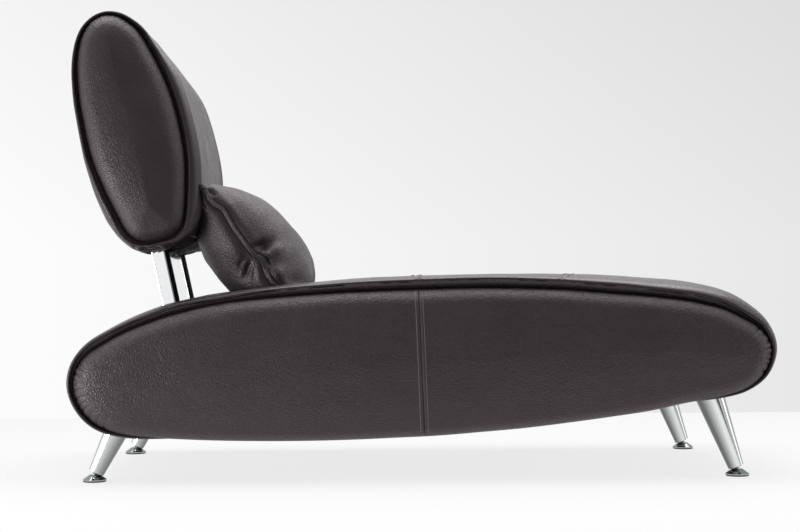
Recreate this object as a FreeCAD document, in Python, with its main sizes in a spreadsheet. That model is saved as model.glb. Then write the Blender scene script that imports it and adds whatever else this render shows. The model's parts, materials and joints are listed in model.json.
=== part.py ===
import FreeCAD, Part
import Sketcher
import math
import os

# Chaise longue: long upholstered seat on four tapered legs with levelling feet,
# oval backrest on two posts, loose back cushion.
# Frame: +X to the foot end, +Y to the sitter's left, +Z up, origin on the floor
# under the middle of the seat. All sizes in mm.

V = FreeCAD.Vector
doc = FreeCAD.newDocument("chaise_longue")
sheet = doc.addObject("Spreadsheet::Sheet", "dims")
sheet.Label = "dims"

CELLS = [
    # groove line of the seat side panels (eight-arc oval in XZ)
    ("seat_x_head", -744), ("seat_z_head", 211), ("seat_x_top", 118), ("seat_z_top", 421),
    ("seat_x_foot", 743), ("seat_z_foot", 264), ("seat_x_bot", -286), ("seat_z_bot", 93),
    ("seat_r_ht", 121), ("seat_r_ft", 102), ("seat_r_fb", 73), ("seat_r_hb", 103),
    # crowned outline of the seat band at mid width
    ("band_x_head", -764), ("band_z_head", 211), ("band_x_top", 130), ("band_z_top", 443),
    ("band_x_foot", 764), ("band_z_foot", 266), ("band_x_bot", -286), ("band_z_bot", 92),
    ("band_r_ht", 130), ("band_r_ft", 112), ("band_r_fb", 80), ("band_r_hb", 108),
    # groove line of the backrest side panels, local frame along the posts
    ("back_v_rear", -102), ("back_u_rear", 1), ("back_v_front", 109.5), ("back_u_front", 0),
    ("back_v_top", -6), ("back_u_top", 270), ("back_v_bot", 10), ("back_u_bot", -248),
    ("back_r_tr", 72), ("back_r_tf", 72), ("back_r_bf", 73), ("back_r_br", 84),
    # crowned outline of the backrest band
    ("bband_v_rear", -116), ("bband_u_rear", 1), ("bband_v_front", 135), ("bband_u_front", 0),
    ("bband_v_top", -4), ("bband_u_top", 280), ("bband_v_bot", 12), ("bband_u_bot", -256),
    ("bband_r_tr", 80), ("bband_r_tf", 84), ("bband_r_bf", 82), ("bband_r_br", 90),
    ("back_x", -628), ("back_z", 750), ("back_tilt", 12),
    # leather, foam and frame of the seat
    ("skin", 3), ("fit_gap", 0.3),
    ("seat_half", 362), ("seat_roll", 20), ("former_out", 340), ("former_thk", 18),
    ("pad_out", 381), ("pad_roll", 30), ("pad_inset", 12), ("cover_in", 346),
    ("foam_thk", 61), ("web_thk", 3), ("web_wide", 50), ("web_step", 90), ("web_count", 12), ("web_first", -430),
    ("wad_thk", 21), ("line_z", 200), ("line_tilt", 2.62),
    ("win_head", -600), ("win_foot", 560), ("win_top", 205), ("cloth_thk", 2),
    ("flange", 6), ("pipe_r", 4), ("pipe_in", 2),
    # rails and boards
    ("hrail_x", -670), ("hrail_z", 198), ("hrail_wide", 35), ("hrail_tall", 47),
    ("mrail_x", 80), ("mrail_z", 135), ("mrail_wide", 40), ("mrail_tall", 80),
    ("frail_x", 610), ("frail_z", 262), ("frail_wide", 35), ("frail_tall", 45),
    ("board_thk", 24), ("board_long", 104),
    ("beam_u", -600), ("beam_tall", 120), ("beam_v", 5.3), ("beam_thk", 40),
    # posts
    ("post_y", 156), ("post_wide", 70), ("post_thk", 32), ("post_wall", 2.5), ("post_round", 4), ("post_v", -11),
    ("post_low", -605), ("post_high", 60), ("slot_gap", 1.3),
    ("bolt_r", 5), ("bolt_head_r", 8.5), ("bolt_head", 6), ("bolt_hole_r", 5.3),
    ("beam_bolt_a", -570), ("beam_bolt_b", -510), ("back_bolt_a", -60), ("back_bolt_b", 30),
    ("tee_flange_r", 11), ("tee_flange", 2), ("tee_barrel_r", 6.5), ("tee_barrel", 13),
    # backrest
    ("back_half", 275), ("back_roll", 12), ("bformer_out", 251), ("bformer_thk", 15),
    ("bpad_out", 295), ("bcover_in", 260), ("bfoam_thk", 40),
    ("bboard_v", 5.3), ("bboard_thk", 15), ("bboard_low", -200), ("bboard_high", 208),
    ("close_v_rear", -55), ("close_v_front", 75), ("close_half", 262),
    # legs and levelling feet
    ("leg_y", 300), ("head_ball_x", -709), ("foot_ball_x", 681), ("ball_z", 12.5),
    ("head_lean", 26), ("foot_lean", 20), ("leg_end", 8.3), ("leg_end_r", 17.25), ("leg_taper", 5),
    ("leg_wall", 2), ("leg_cap", 4), ("head_leg_top", 148), ("foot_leg_top", 206),
    ("leg_hole_gap", 3), ("insert_long", 20), ("screw_r", 5), ("screw_fit", 0.05),
    ("stem_top", 60), ("neck_r", 4), ("neck_top", 9), ("journal_r", 3), ("peen_r", 4),
    ("peen_low", 6.4), ("peen_high", 5), ("peen_gap", 0.1),
    ("ball_r", 7.5), ("ball_flat", 6), ("socket_lip", 63), ("pad_r", 26), ("pad_top_r", 10.5),
    ("sole_thk", 3), ("sole_r", 25), ("pad_edge", 2.5),
    # wood screws
    ("wscrew_r", 2.5), ("wscrew_head_r", 5), ("wscrew_head", 3), ("wscrew_long", 60),
    # loose cushion
    ("cush_x", -381), ("cush_z", 502), ("cush_lean", 35.5), ("cush_half_wide", 262), ("cush_gap", 1),
    ("cush_v_rear", -94), ("cush_u_rear", -10), ("cush_v_front", 94), ("cush_u_front", -10),
    ("cush_v_top", 2), ("cush_u_top", 168), ("cush_v_bot", 0), ("cush_u_bot", -168),
    ("cush_r_tr", 56), ("cush_r_tf", 60), ("cush_r_bf", 60), ("cush_r_br", 60), ("cush_roll", 50),
]
for i, (alias, value) in enumerate(CELLS, start=1):
    sheet.set("A%d" % i, alias)
    sheet.set("B%d" % i, repr(value))
    sheet.setAlias("B%d" % i, alias)
doc.recompute()


def g(alias):
    return float(sheet.get(alias))


def d(text):
    """Turn plain alias arithmetic such as 'skin + 2' into an expression on the sheet."""
    out = ""
    word = ""
    for ch in text + " ":
        if ch.isalnum() or ch == "_" or (ch == "." and word[:1].isdigit()):
            word += ch
            continue
        if word:
            out += ("dims." + word) if word[0].isalpha() else word
            word = ""
        out += ch
    return out.strip()


def val(text):
    """Value of the same plain arithmetic."""
    total = 0.0
    sign = 1.0
    for tok in text.replace("+", " + ").replace("-", " - ").split():
        if tok == "+":
            continue
        if tok == "-":
            sign = -sign
            continue
        total += sign * (g(tok) if tok[0].isalpha() else float(tok))
        sign = 1.0
    return total


# --- ovals -------------------------------------------------------------------
# name: (left x, left z, top x, top z, right x, right z, bottom x, bottom z,
#        radii top right, top left, bottom left, bottom right, which arcs the radii belong to)
OVALS = {
    "seat": ("seat_x_head", "seat_z_head", "seat_x_top", "seat_z_top", "seat_x_foot", "seat_z_foot",
             "seat_x_bot", "seat_z_bot", "seat_r_ft", "seat_r_ht", "seat_r_hb", "seat_r_fb", "side"),
    "band": ("band_x_head", "band_z_head", "band_x_top", "band_z_top", "band_x_foot", "band_z_foot",
             "band_x_bot", "band_z_bot", "band_r_ft", "band_r_ht", "band_r_hb", "band_r_fb", "side"),
    "back": ("back_v_rear", "back_u_rear", "back_v_top", "back_u_top", "back_v_front", "back_u_front",
             "back_v_bot", "back_u_bot", "back_r_tf", "back_r_tr", "back_r_br", "back_r_bf", "tip"),
    "bband": ("bband_v_rear", "bband_u_rear", "bband_v_top", "bband_u_top", "bband_v_front", "bband_u_front",
              "bband_v_bot", "bband_u_bot", "bband_r_tf", "bband_r_tr", "bband_r_br", "bband_r_bf", "tip"),
    "cush": ("cush_v_rear", "cush_u_rear", "cush_v_top", "cush_u_top", "cush_v_front", "cush_u_front",
             "cush_v_bot", "cush_u_bot", "cush_r_tf", "cush_r_tr", "cush_r_br", "cush_r_bf", "tip"),
}


def draw_oval(sk, kind, off):
    """Eight tangent arcs, fully constrained; off (plain arithmetic) moves the whole line outward."""
    names = OVALS[kind]
    o = val(off)
    xl, zl, xt, zt, xr, zr, xb, zb = [g(n) for n in names[:8]]
    xl -= o
    zt += o
    xr += o
    zb -= o
    rad = [g(n) + o for n in names[8:12]]
    side = names[12] == "side"

    def quadrant(xs, zs, xv, zv, r):
        dx = abs(xv - xs)
        dz = abs(zv - zs)
        if side:
            rs = r
            rv = ((dx - rs) ** 2 + dz ** 2 - rs ** 2) / (2 * (dz - rs))
        else:
            rv = r
            rs = ((dz - rv) ** 2 + dx ** 2 - rv ** 2) / (2 * (dx - rv))
        sx = 1 if xs > xv else -1
        sz = 1 if zv > zs else -1
        cs = V(xs - sx * rs, zs, 0)
        cv = V(xv, zv - sz * rv, 0)
        n = (cs - cv) if rv > rs else (cv - cs)
        ang = math.atan2(n.y, n.x) % (2 * math.pi)
        return cs, rs, cv, rv, ang

    tr = quadrant(xr, zr, xt, zt, rad[0])
    tl = quadrant(xl, zl, xt, zt, rad[1])
    bl = quadrant(xl, zl, xb, zb, rad[2])
    br = quadrant(xr, zr, xb, zb, rad[3])
    pi = math.pi
    arcs = [(tr[0], tr[1], 0, tr[4]), (tr[2], tr[3], tr[4], pi / 2),
            (tl[2], tl[3], pi / 2, tl[4]), (tl[0], tl[1], tl[4], pi),
            (bl[0], bl[1], pi, bl[4]), (bl[2], bl[3], bl[4], 1.5 * pi),
            (br[2], br[3], 1.5 * pi, br[4]), (br[0], br[1], br[4], 2 * pi)]
    for c, r, a0, a1 in arcs:
        sk.addGeometry(Part.ArcOfCircle(Part.Circle(c, V(0, 0, 1), r), a0, a1), False)
    for i in range(8):
        sk.addConstraint(Sketcher.Constraint("Tangent", i, 2, (i + 1) % 8, 1))
    sk.addConstraint(Sketcher.Constraint("Horizontal", 0, 1, 0, 3))
    sk.addConstraint(Sketcher.Constraint("Vertical", 1, 2, 1, 3))
    sk.addConstraint(Sketcher.Constraint("Horizontal", 3, 2, 3, 3))
    sk.addConstraint(Sketcher.Constraint("Vertical", 5, 2, 5, 3))
    sign = {"xl": "-", "zt": "+", "xr": "+", "zb": "-"}
    dims = [("xr", "DistanceX", 0, 1, 4, xr), ("zr", "DistanceY", 0, 1, 5, zr),
            ("xt", "DistanceX", 1, 2, 2, xt), ("zt", "DistanceY", 1, 2, 3, zt),
            ("xl", "DistanceX", 3, 2, 0, xl), ("zl", "DistanceY", 3, 2, 1, zl),
            ("xb", "DistanceX", 5, 2, 6, xb), ("zb", "DistanceY", 5, 2, 7, zb)]
    for tag, typ, geo, pos, idx, value in dims:
        n = sk.addConstraint(Sketcher.Constraint(typ, -1, 1, geo, pos, value))
        sk.renameConstraint(n, "c_" + tag)
        expr = d(names[idx])
        if tag in sign:
            expr += " %s (%s)" % (sign[tag], d(off))
        sk.setExpression("Constraints.c_" + tag, expr)
    for tag, geo, idx in (("tr", 0 if side else 1, 8), ("tl", 3 if side else 2, 9),
                          ("bl", 4 if side else 5, 10), ("br", 7 if side else 6, 11)):
        n = sk.addConstraint(Sketcher.Constraint("Radius", geo, rad[idx - 8]))
        sk.renameConstraint(n, "r_" + tag)
        sk.setExpression("Constraints.r_" + tag, "%s + (%s)" % (d(names[idx]), d(off)))


def origin_plane(body, role):
    return [f for f in body.Origin.OriginFeatures if f.Role == role][0]


def new_body(name, label=None):
    b = doc.addObject("PartDesign::Body", name)
    b.Label = label or name
    return b


def new_sketch(body, name, role="XZ_Plane"):
    sk = body.newObject("Sketcher::SketchObject", name)
    sk.AttachmentSupport = [(origin_plane(body, role), "")]
    sk.MapMode = "FlatFace"
    return sk


def back_frame():
    return FreeCAD.Placement(V(g("back_x"), 0, g("back_z")), FreeCAD.Rotation(V(0, 1, 0), -g("back_tilt")))


def bind_back(obj):
    obj.Placement = back_frame()
    obj.setExpression("Placement.Base.x", "dims.back_x")
    obj.setExpression("Placement.Base.z", "dims.back_z")
    obj.setExpression("Placement.Rotation.Angle", "dims.back_tilt")
    obj.Placement = FreeCAD.Placement(V(g("back_x"), 0, g("back_z")), FreeCAD.Rotation(V(0, -1, 0), g("back_tilt")))


def oval_solid(name, kind, off, y0, y1, roll=None, rims=()):
    """Oval plate between the planes y0 and y1, the rims ('lo', 'hi') rolled with a fillet."""
    b = new_body(name)
    sk = new_sketch(b, name + "_line")
    draw_oval(sk, kind, off)
    sk.setExpression("AttachmentOffset.Base.z", "-(%s)" % d(y1))
    pad = b.newObject("PartDesign::Pad", name + "_pad")
    pad.Profile = sk
    pad.setExpression("Length", "(%s) - (%s)" % (d(y1), d(y0)))
    b.Tip = pad
    if kind in ("back", "bband"):
        bind_back(b)
    doc.recompute()
    if roll:
        lo, hi = val(y0), val(y1)
        edges = []
        for i, e in enumerate(pad.Shape.Edges, start=1):
            bb = e.BoundBox
            for tag, y in (("lo", lo), ("hi", hi)):
                if tag in rims and abs(bb.YMin - y) < 1e-4 and abs(bb.YMax - y) < 1e-4:
                    edges.append("Edge%d" % i)
        f = b.newObject("PartDesign::Fillet", name + "_roll")
        f.Base = (pad, edges)
        f.setExpression("Radius", d(roll))
        b.Tip = f
        doc.recompute()
    return b


def box(name, x, y, z, dx, dy, dz, back=False):
    """Block from its low corner; every argument is plain arithmetic on the sheet."""
    o = doc.addObject("Part::Box", name)
    o.Label = name
    o.setExpression("Length", d(dx))
    o.setExpression("Width", d(dy))
    o.setExpression("Height", d(dz))
    if back:
        o.Placement = back_frame().multiply(FreeCAD.Placement(V(val(x), val(y), val(z)), FreeCAD.Rotation()))
    else:
        o.setExpression("Placement.Base.x", d(x))
        o.setExpression("Placement.Base.y", d(y))
        o.setExpression("Placement.Base.z", d(z))
    return o


def cyl(name, r, length, place):
    o = doc.addObject("Part::Cylinder", name)
    o.setExpression("Radius", d(r))
    o.setExpression("Height", d(length))
    o.Placement = place
    return o


def cut(name, base, tools):
    if len(tools) == 1:
        t = tools[0]
    else:
        t = doc.addObject("Part::Compound", name + "_tools")
        t.Links = tools
    o = doc.addObject("Part::Cut", name)
    o.Label = name
    o.Base = base
    o.Tool = t
    return o


def common(name, a, b):
    o = doc.addObject("Part::Common", name)
    o.Label = name
    o.Base = a
    o.Tool = b
    return o


def revolved(name, pts, place):
    """Body turned about its own Z from a closed profile. A point is (radius, height), each one
    plain arithmetic on the sheet or a ready expression with its value; a third entry makes the
    line to that point an arc: its centre height and radius."""
    b = new_body(name)
    sk = new_sketch(b, name + "_profile")

    def number(q):
        return q[0] if isinstance(q, tuple) else val(q)

    def formula(q):
        return q[1] if isinstance(q, tuple) else d(q)

    at = [V(number(p[0]), number(p[1]), 0) for p in pts]
    n = len(pts)
    for i in range(n):
        j = (i + 1) % n
        if len(pts[j]) == 2:
            sk.addGeometry(Part.LineSegment(at[i], at[j]), False)
        else:
            zc, rc = number(pts[j][2][0]), number(pts[j][2][1])
            turn = sorted(math.atan2(q.y - zc, q.x) for q in (at[i], at[j]))
            sk.addGeometry(Part.ArcOfCircle(Part.Circle(V(0, zc, 0), V(0, 0, 1), rc), turn[0], turn[1]), False)

    def end_at(geo, point):
        e = sk.Geometry[geo]
        return 1 if (e.StartPoint - point).Length < (e.EndPoint - point).Length else 2

    for i in range(n):
        j = (i + 1) % n
        sk.addConstraint(Sketcher.Constraint("Coincident", i, end_at(i, at[j]), j, end_at(j, at[j])))
    for i, p in enumerate(pts):
        pos = end_at(i, at[i])
        for axis, typ, line, q in ((0, "DistanceX", -2, p[0]), (1, "DistanceY", -1, p[1])):
            if abs(number(q)) < 1e-9:
                sk.addConstraint(Sketcher.Constraint("PointOnObject", i, pos, line))
                continue
            k = sk.addConstraint(Sketcher.Constraint(typ, -1, 1, i, pos, number(q)))
            sk.renameConstraint(k, "p%d_%d" % (i, axis))
            sk.setExpression("Constraints.p%d_%d" % (i, axis), formula(q))
        if len(p) == 3:
            k = sk.addConstraint(Sketcher.Constraint("Radius", (i - 1) % n, number(p[2][1])))
            sk.renameConstraint(k, "arc%d" % i)
            sk.setExpression("Constraints.arc%d" % i, formula(p[2][1]))
    rev = b.newObject("PartDesign::Revolution", name + "_turn")
    rev.Profile = sk
    rev.ReferenceAxis = (sk, ["V_Axis"])
    rev.Angle = 360
    b.Tip = rev
    b.Placement = place
    doc.recompute()
    return b


nodes = {}


def keep(name, obj):
    obj.Label = name
    nodes[name] = obj


# --- placements ----------------------------------------------------------------
SIDES = (("right", -1), ("left", 1))
ENDS = (("head", "head_ball_x", "head_lean", 1, "head_leg_top"), ("foot", "foot_ball_x", "foot_lean", -1, "foot_leg_top"))


def leg_place(end, side):
    _, bx, lean, sgn, _ = end
    return FreeCAD.Placement(V(g(bx), side[1] * g("leg_y"), g("ball_z")),
                             FreeCAD.Rotation(V(0, 1, 0), sgn * g(lean)))


def back_at(v, y, u, rot=None):
    return back_frame().multiply(FreeCAD.Placement(V(v, y, u), rot or FreeCAD.Rotation()))


ALONG_V = FreeCAD.Rotation(V(0, 1, 0), 90)      # local Z of a fastener along +v

# --- fasteners first: other pieces are drilled with them --------------------------
def fastener(profile):
    """Solid of revolution about Z from (radius, height) points."""
    pts = [V(r, 0, z) for r, z in profile]
    face = Part.Face(Part.makePolygon(pts + [pts[0]]))
    return face.revolve(V(0, 0, 0), V(0, 0, 1), 360)


def group(name, shapes):
    o = doc.addObject("Part::Feature", name)
    o.Shape = Part.Compound(shapes)
    keep(name, o)
    return o


wr, whr, wh, wl = g("wscrew_r"), g("wscrew_head_r"), g("wscrew_head"), g("wscrew_long")
wood_screw = fastener([(0, 0), (whr, 0), (wr, wh), (wr, wl - 6), (0, wl)])


def screw_in(x, z, y_face, s):
    rot = FreeCAD.Rotation(V(1, 0, 0), 90 if s > 0 else -90)   # local Z to -Y on the left side
    sh = wood_screw.copy()
    sh.Placement = FreeCAD.Placement(V(x, s * y_face, z), rot)
    return sh


def leg_xz(end, axial, across):
    p = leg_place(end, ("mid", 0)).multVec(V(across, 0, axial))
    return p.x, p.z


def back_xz(v, u):
    p = back_frame().multVec(V(v, 0, u))
    return p.x, p.z


seat_screw_at = [
    (g("hrail_x") + g("hrail_wide") / 2, g("hrail_z") + 12), (g("hrail_x") + g("hrail_wide") / 2, g("hrail_z") + 35),
    (g("mrail_x") + g("mrail_wide") / 2, g("mrail_z") + 20), (g("mrail_x") + g("mrail_wide") / 2, g("mrail_z") + 60),
    (g("frail_x") + g("frail_wide") / 2, g("frail_z") + 11), (g("frail_x") + g("frail_wide") / 2, g("frail_z") + 34),
    back_xz(g("beam_v") + g("beam_thk") / 2, g("beam_u") + 20),
    back_xz(g("beam_v") + g("beam_thk") / 2, g("beam_u") + g("beam_tall") - 20),
    leg_xz(ENDS[0], g("head_leg_top") + g("board_thk") / 2, -45), leg_xz(ENDS[0], g("head_leg_top") + g("board_thk") / 2, 45),
    leg_xz(ENDS[1], g("foot_leg_top") + g("board_thk") / 2, -45), leg_xz(ENDS[1], g("foot_leg_top") + g("board_thk") / 2, 45),
]
back_screw_at = [
    back_xz(g("bboard_v") + g("bboard_thk") / 2, g("bboard_low") + 25), back_xz(g("bboard_v") + g("bboard_thk") / 2, 0),
    back_xz(g("bboard_v") + g("bboard_thk") / 2, g("bboard_high") - 25),
]
screws = []
for _, s in SIDES:
    screws += [screw_in(x, z, g("former_out"), s) for x, z in seat_screw_at]
    screws += [screw_in(x, z, g("bformer_out"), s) for x, z in back_screw_at]
wood_screws = group("wood_screws", screws)

br_, bhr, bh = g("bolt_r"), g("bolt_head_r"), g("bolt_head")
half = g("post_thk") / 2
tee_f, tee_fr, tee_b, tee_br = g("tee_flange"), g("tee_flange_r"), g("tee_barrel"), g("tee_barrel_r")
tee_nut = fastener([(br_, -tee_b), (tee_br, -tee_b), (tee_br, 0), (tee_fr, 0), (tee_fr, tee_f), (br_, tee_f)])


def bolt(length):
    return fastener([(0, -bh), (bhr, -bh), (bhr, 0), (br_, 0), (br_, length), (0, length)])


tees = []
beam_bolts = []
board_bolts = []
rear = g("post_v") - half
for _, s in SIDES:
    for u in ("beam_bolt_a", "beam_bolt_b"):
        face = g("beam_v") + g("beam_thk")
        b = bolt(face + tee_f - rear)
        b.Placement = back_at(rear, s * g("post_y"), g(u), ALONG_V)
        beam_bolts.append(b)
        t = tee_nut.copy()
        t.Placement = back_at(face, s * g("post_y"), g(u), ALONG_V)
        tees.append(t)
    for u in ("back_bolt_a", "back_bolt_b"):
        face = g("bboard_v") + g("bboard_thk")
        b = bolt(face + tee_f - rear)
        b.Placement = back_at(rear, s * g("post_y"), g(u), ALONG_V)
        board_bolts.append(b)
        t = tee_nut.copy()
        t.Placement = back_at(face, s * g("post_y"), g(u), ALONG_V)
        tees.append(t)
leg_bolt_shapes = []
insert_shapes = []
tan5 = math.tan(math.radians(g("leg_taper")))
for end in ENDS:
    for side in SIDES:
        top = g(end[4])
        b = bolt(g("leg_cap") + g("board_thk") + tee_f)
        b.Placement = leg_place(end, side).multiply(FreeCAD.Placement(V(0, 0, top - g("leg_cap")), FreeCAD.Rotation()))
        leg_bolt_shapes.append(b)
        t = tee_nut.copy()
        t.Placement = leg_place(end, side).multiply(FreeCAD.Placement(V(0, 0, top + g("board_thk")), FreeCAD.Rotation()))
        tees.append(t)
        e0 = g("leg_end")
        e1 = e0 + g("insert_long")
        ri = g("leg_end_r") - g("leg_wall")
        rb = g("screw_r") + g("screw_fit")
        ins = fastener([(rb, e0), (ri, e0), (ri + (e1 - e0) * tan5, e1), (rb, e1)])
        ins.Placement = leg_place(end, side)
        insert_shapes.append(ins)
post_bolts = group("post_bolts", beam_bolts)
back_bolts = group("back_bolts", board_bolts)
leg_bolts = group("leg_bolts", leg_bolt_shapes)
tee_nuts = group("tee_nuts", tees)
leg_inserts = group("leg_inserts", insert_shapes)
doc.recompute()

# --- shared cutting tools -----------------------------------------------------------
above = doc.addObject("Part::Box", "above_line")
above.Length, above.Width, above.Height = 2000, 1000, 700
above.Placement = FreeCAD.Placement(V(0, 0, 0), FreeCAD.Rotation(V(0, 1, 0), -g("line_tilt"))).multiply(
    FreeCAD.Placement(V(-1000, -500, g("line_z")), FreeCAD.Rotation()))
window = box("bottom_window", "win_head", "0 - former_out", "0 - 100", "win_foot - win_head", "former_out + former_out",
             "win_top + 100")

leg_tools = []
for end in ENDS:
    for side in SIDES:
        nm = "%s_%s" % (end[0], side[0])
        e0, top = g("leg_end"), g(end[4])
        c = doc.addObject("Part::Cone", "leg_room_" + nm)
        c.Radius1 = g("leg_end_r") + g("leg_hole_gap")
        c.Radius2 = g("leg_end_r") + g("leg_hole_gap") + (top - e0) * tan5
        c.Height = top - e0 + 0.3
        c.Placement = leg_place(end, side).multiply(FreeCAD.Placement(V(0, 0, e0), FreeCAD.Rotation()))
        leg_tools.append(c)
slot_tools = []
for tag, s in SIDES:
    w = g("post_wide") / 2 + g("slot_gap")
    t2 = half + g("slot_gap")
    o = doc.addObject("Part::Box", "post_room_" + tag)
    o.setExpression("Length", d("post_thk + slot_gap + slot_gap"))
    o.setExpression("Width", d("post_wide + slot_gap + slot_gap"))
    o.setExpression("Height", d("post_high - post_low + 10"))
    o.Placement = back_at(g("post_v") - t2, s * g("post_y") - w, g("post_low") - 5)
    slot_tools.append(o)
doc.recompute()

# --- seat frame ------------------------------------------------------------------------
core = oval_solid("frame_core", "band", "0 - skin - foam_thk - web_thk", "0 - 400", "400")
top_zone = cut("foam_zone", above, [core])
former_in = "former_out - former_thk"
for tag, s in SIDES:
    y0, y1 = ("0 - former_out", "former_thk - former_out") if s < 0 else (former_in, "former_out")
    raw = oval_solid("former_raw_" + tag, "band", "0 - skin - wad_thk - fit_gap", y0, y1)
    keep("seat_former_" + tag, cut("seat_former_" + tag, raw, [top_zone, wood_screws] + leg_tools))
rail_wide = "former_out + former_out - former_thk - former_thk"
for nm, k in (("head_rail", "hrail"), ("middle_rail", "mrail"), ("foot_rail", "frail")):
    raw = box(nm + "_raw", k + "_x", "former_thk - former_out", k + "_z", k + "_wide", rail_wide, k + "_tall")
    keep(nm, cut(nm, raw, [wood_screws]))
boards = []
for end in ENDS:
    nm = end[0] + "_leg_board"
    raw = doc.addObject("Part::Box", nm + "_raw")
    boards.append(raw)
    raw.setExpression("Length", d("board_long"))
    raw.setExpression("Width", d(rail_wide))
    raw.setExpression("Height", d("board_thk"))
    raw.Placement = leg_place(end, ("mid", 0)).multiply(
        FreeCAD.Placement(V(-g("board_long") / 2, g("former_thk") - g("former_out"), g(end[4])), FreeCAD.Rotation()))
    holes = []
    for side in SIDES:
        holes.append(cyl(nm + "_bore_" + side[0], "bolt_r", "board_thk + 20", leg_place(end, side).multiply(
            FreeCAD.Placement(V(0, 0, g(end[4]) - 10), FreeCAD.Rotation()))))
        holes.append(cyl(nm + "_seat_" + side[0], "tee_barrel_r", "tee_barrel + 10", leg_place(end, side).multiply(
            FreeCAD.Placement(V(0, 0, g(end[4]) + g("board_thk") - g("tee_barrel")), FreeCAD.Rotation()))))
    keep(nm, cut(nm, raw, holes + [wood_screws]))
beam = box("post_beam_raw", "beam_v", "former_thk - former_out", "beam_u", "beam_thk", rail_wide, "beam_tall", back=True)
keep("post_beam", cut("post_beam", beam, [post_bolts, tee_nuts, wood_screws]))

# webbing: strips that follow the curved top edge of the formers
web_out = oval_solid("web_out", "band", "0 - skin - foam_thk", "2 - former_out", "former_out - 2")
web_ring = cut("web_ring", web_out, [core])
combs = []
for i in range(int(g("web_count"))):
    o = doc.addObject("Part::Box", "web_gate_%d" % i)
    o.setExpression("Length", d("web_wide"))
    o.Width, o.Height = 800, 400
    o.Placement = FreeCAD.Placement(V(g("web_first") + i * g("web_step"), -400, 240), FreeCAD.Rotation())
    combs.append(o)
comb = doc.addObject("Part::Compound", "web_gates")
comb.Links = combs
keep("seat_webbing", common("seat_webbing", web_ring, comb))

# --- seat upholstery ---------------------------------------------------------------------
pad_side = {}
for tag, s in SIDES:
    y0, y1, rim = ("0 - pad_out", "0 - former_out", ("lo",)) if s < 0 else ("former_out", "pad_out", ("hi",))
    keep("seat_side_pad_" + tag, oval_solid("seat_side_pad_" + tag, "seat", "0 - pad_inset", y0, y1, "pad_roll", rim))
    pad_side[tag] = nodes["seat_side_pad_" + tag]
    y0, y1 = ("0 - pad_out - skin", "0 - cover_in") if s < 0 else ("cover_in", "pad_out + skin")
    skin = oval_solid("side_skin_" + tag, "seat", "skin - pad_inset", y0, y1, "pad_roll + skin", rim)
    keep("seat_side_cover_" + tag, cut("seat_side_cover_" + tag, skin, [pad_side[tag]]))

foam_raw = oval_solid("seat_foam_raw", "band", "0 - skin - fit_gap", "skin + fit_gap - seat_half",
                      "seat_half - skin - fit_gap", "seat_roll - skin - fit_gap", ("lo", "hi"))
foam_core = oval_solid("foam_core", "band", "0 - skin - foam_thk", "0 - 400", "400")
wad_core = cut("wad_core", oval_solid("wad_core_raw", "band", "0 - skin - wad_thk", "0 - 400", "400"), [above])
side_rooms = []
for tag, s in SIDES:
    y0, y1 = ("0 - 400", "fit_gap - former_out") if s < 0 else ("former_out - fit_gap", "400")
    side_rooms.append(oval_solid("side_room_" + tag, "seat", "fit_gap - pad_inset + skin", y0, y1))
keep("seat_foam", cut("seat_foam", foam_raw, [foam_core, wad_core, window] + side_rooms + leg_tools + slot_tools + boards
                      + [leg_bolts, tee_nuts, wood_screws]))

band_raw = oval_solid("seat_band_raw", "band", "0", "0 - seat_half", "seat_half", "seat_roll", ("lo", "hi"))
band_in = oval_solid("seat_band_in", "band", "0 - skin", "skin - seat_half", "seat_half - skin", "seat_roll - skin", ("lo", "hi"))
mouths = []
for tag, s in SIDES:
    y0, y1 = ("0 - 400", "20 - seat_half") if s < 0 else ("seat_half - 20", "400")
    mouths.append(oval_solid("band_mouth_" + tag, "seat", "0 - flange", y0, y1))
keep("seat_band_cover", cut("seat_band_cover", band_raw, [band_in, window] + mouths + leg_tools + slot_tools))

cloth_out = oval_solid("cloth_out", "band", "0 - skin - wad_thk - fit_gap + cloth_thk", "0 - former_out", "former_out")
cloth_in = oval_solid("cloth_in", "band", "0 - skin - wad_thk - fit_gap", "0 - 400", "400")
cloth_ring = cut("cloth_ring", cloth_out, [cloth_in] + leg_tools + boards)
keep("seat_bottom_cloth", common("seat_bottom_cloth", cloth_ring, window))


def piping(name, kind, off, y):
    """Round welt swept along the groove line."""
    b = new_body(name)
    path = new_sketch(b, name + "_path")
    draw_oval(path, kind, off)
    path.setExpression("AttachmentOffset.Base.z", "-(%s)" % d(y))
    prof = new_sketch(b, name + "_round", "XY_Plane")
    names = OVALS[kind]
    cx, cy, cz = g(names[4]) + val(off), val(y), g(names[5])
    prof.addGeometry(Part.Circle(V(cx, cy, 0), V(0, 0, 1), g("pipe_r")), False)
    n = prof.addConstraint(Sketcher.Constraint("Radius", 0, g("pipe_r")))
    prof.renameConstraint(n, "r")
    prof.setExpression("Constraints.r", "dims.pipe_r")
    n = prof.addConstraint(Sketcher.Constraint("DistanceX", -1, 1, 0, 3, cx))
    prof.renameConstraint(n, "cx")
    prof.setExpression("Constraints.cx", "%s + (%s)" % (d(names[4]), d(off)))
    n = prof.addConstraint(Sketcher.Constraint("DistanceY", -1, 1, 0, 3, cy))
    prof.renameConstraint(n, "cy")
    prof.setExpression("Constraints.cy", d(y))
    prof.setExpression("AttachmentOffset.Base.z", d(names[5]))
    doc.recompute()
    pipe = b.newObject("PartDesign::AdditivePipe", name + "_sweep")
    pipe.Profile = prof
    pipe.Spine = (path, ["Edge%d" % (i + 1) for i in range(8)])
    pipe.Mode = "Standard"
    b.Tip = pipe
    if kind == "back":
        bind_back(b)
    doc.recompute()
    return b


for tag, s in SIDES:
    y = "0 - seat_half - pipe_r - fit_gap" if s < 0 else "seat_half + pipe_r + fit_gap"
    keep("seat_piping_" + tag, piping("seat_piping_" + tag, "seat", "0 - pipe_in", y))

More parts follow.
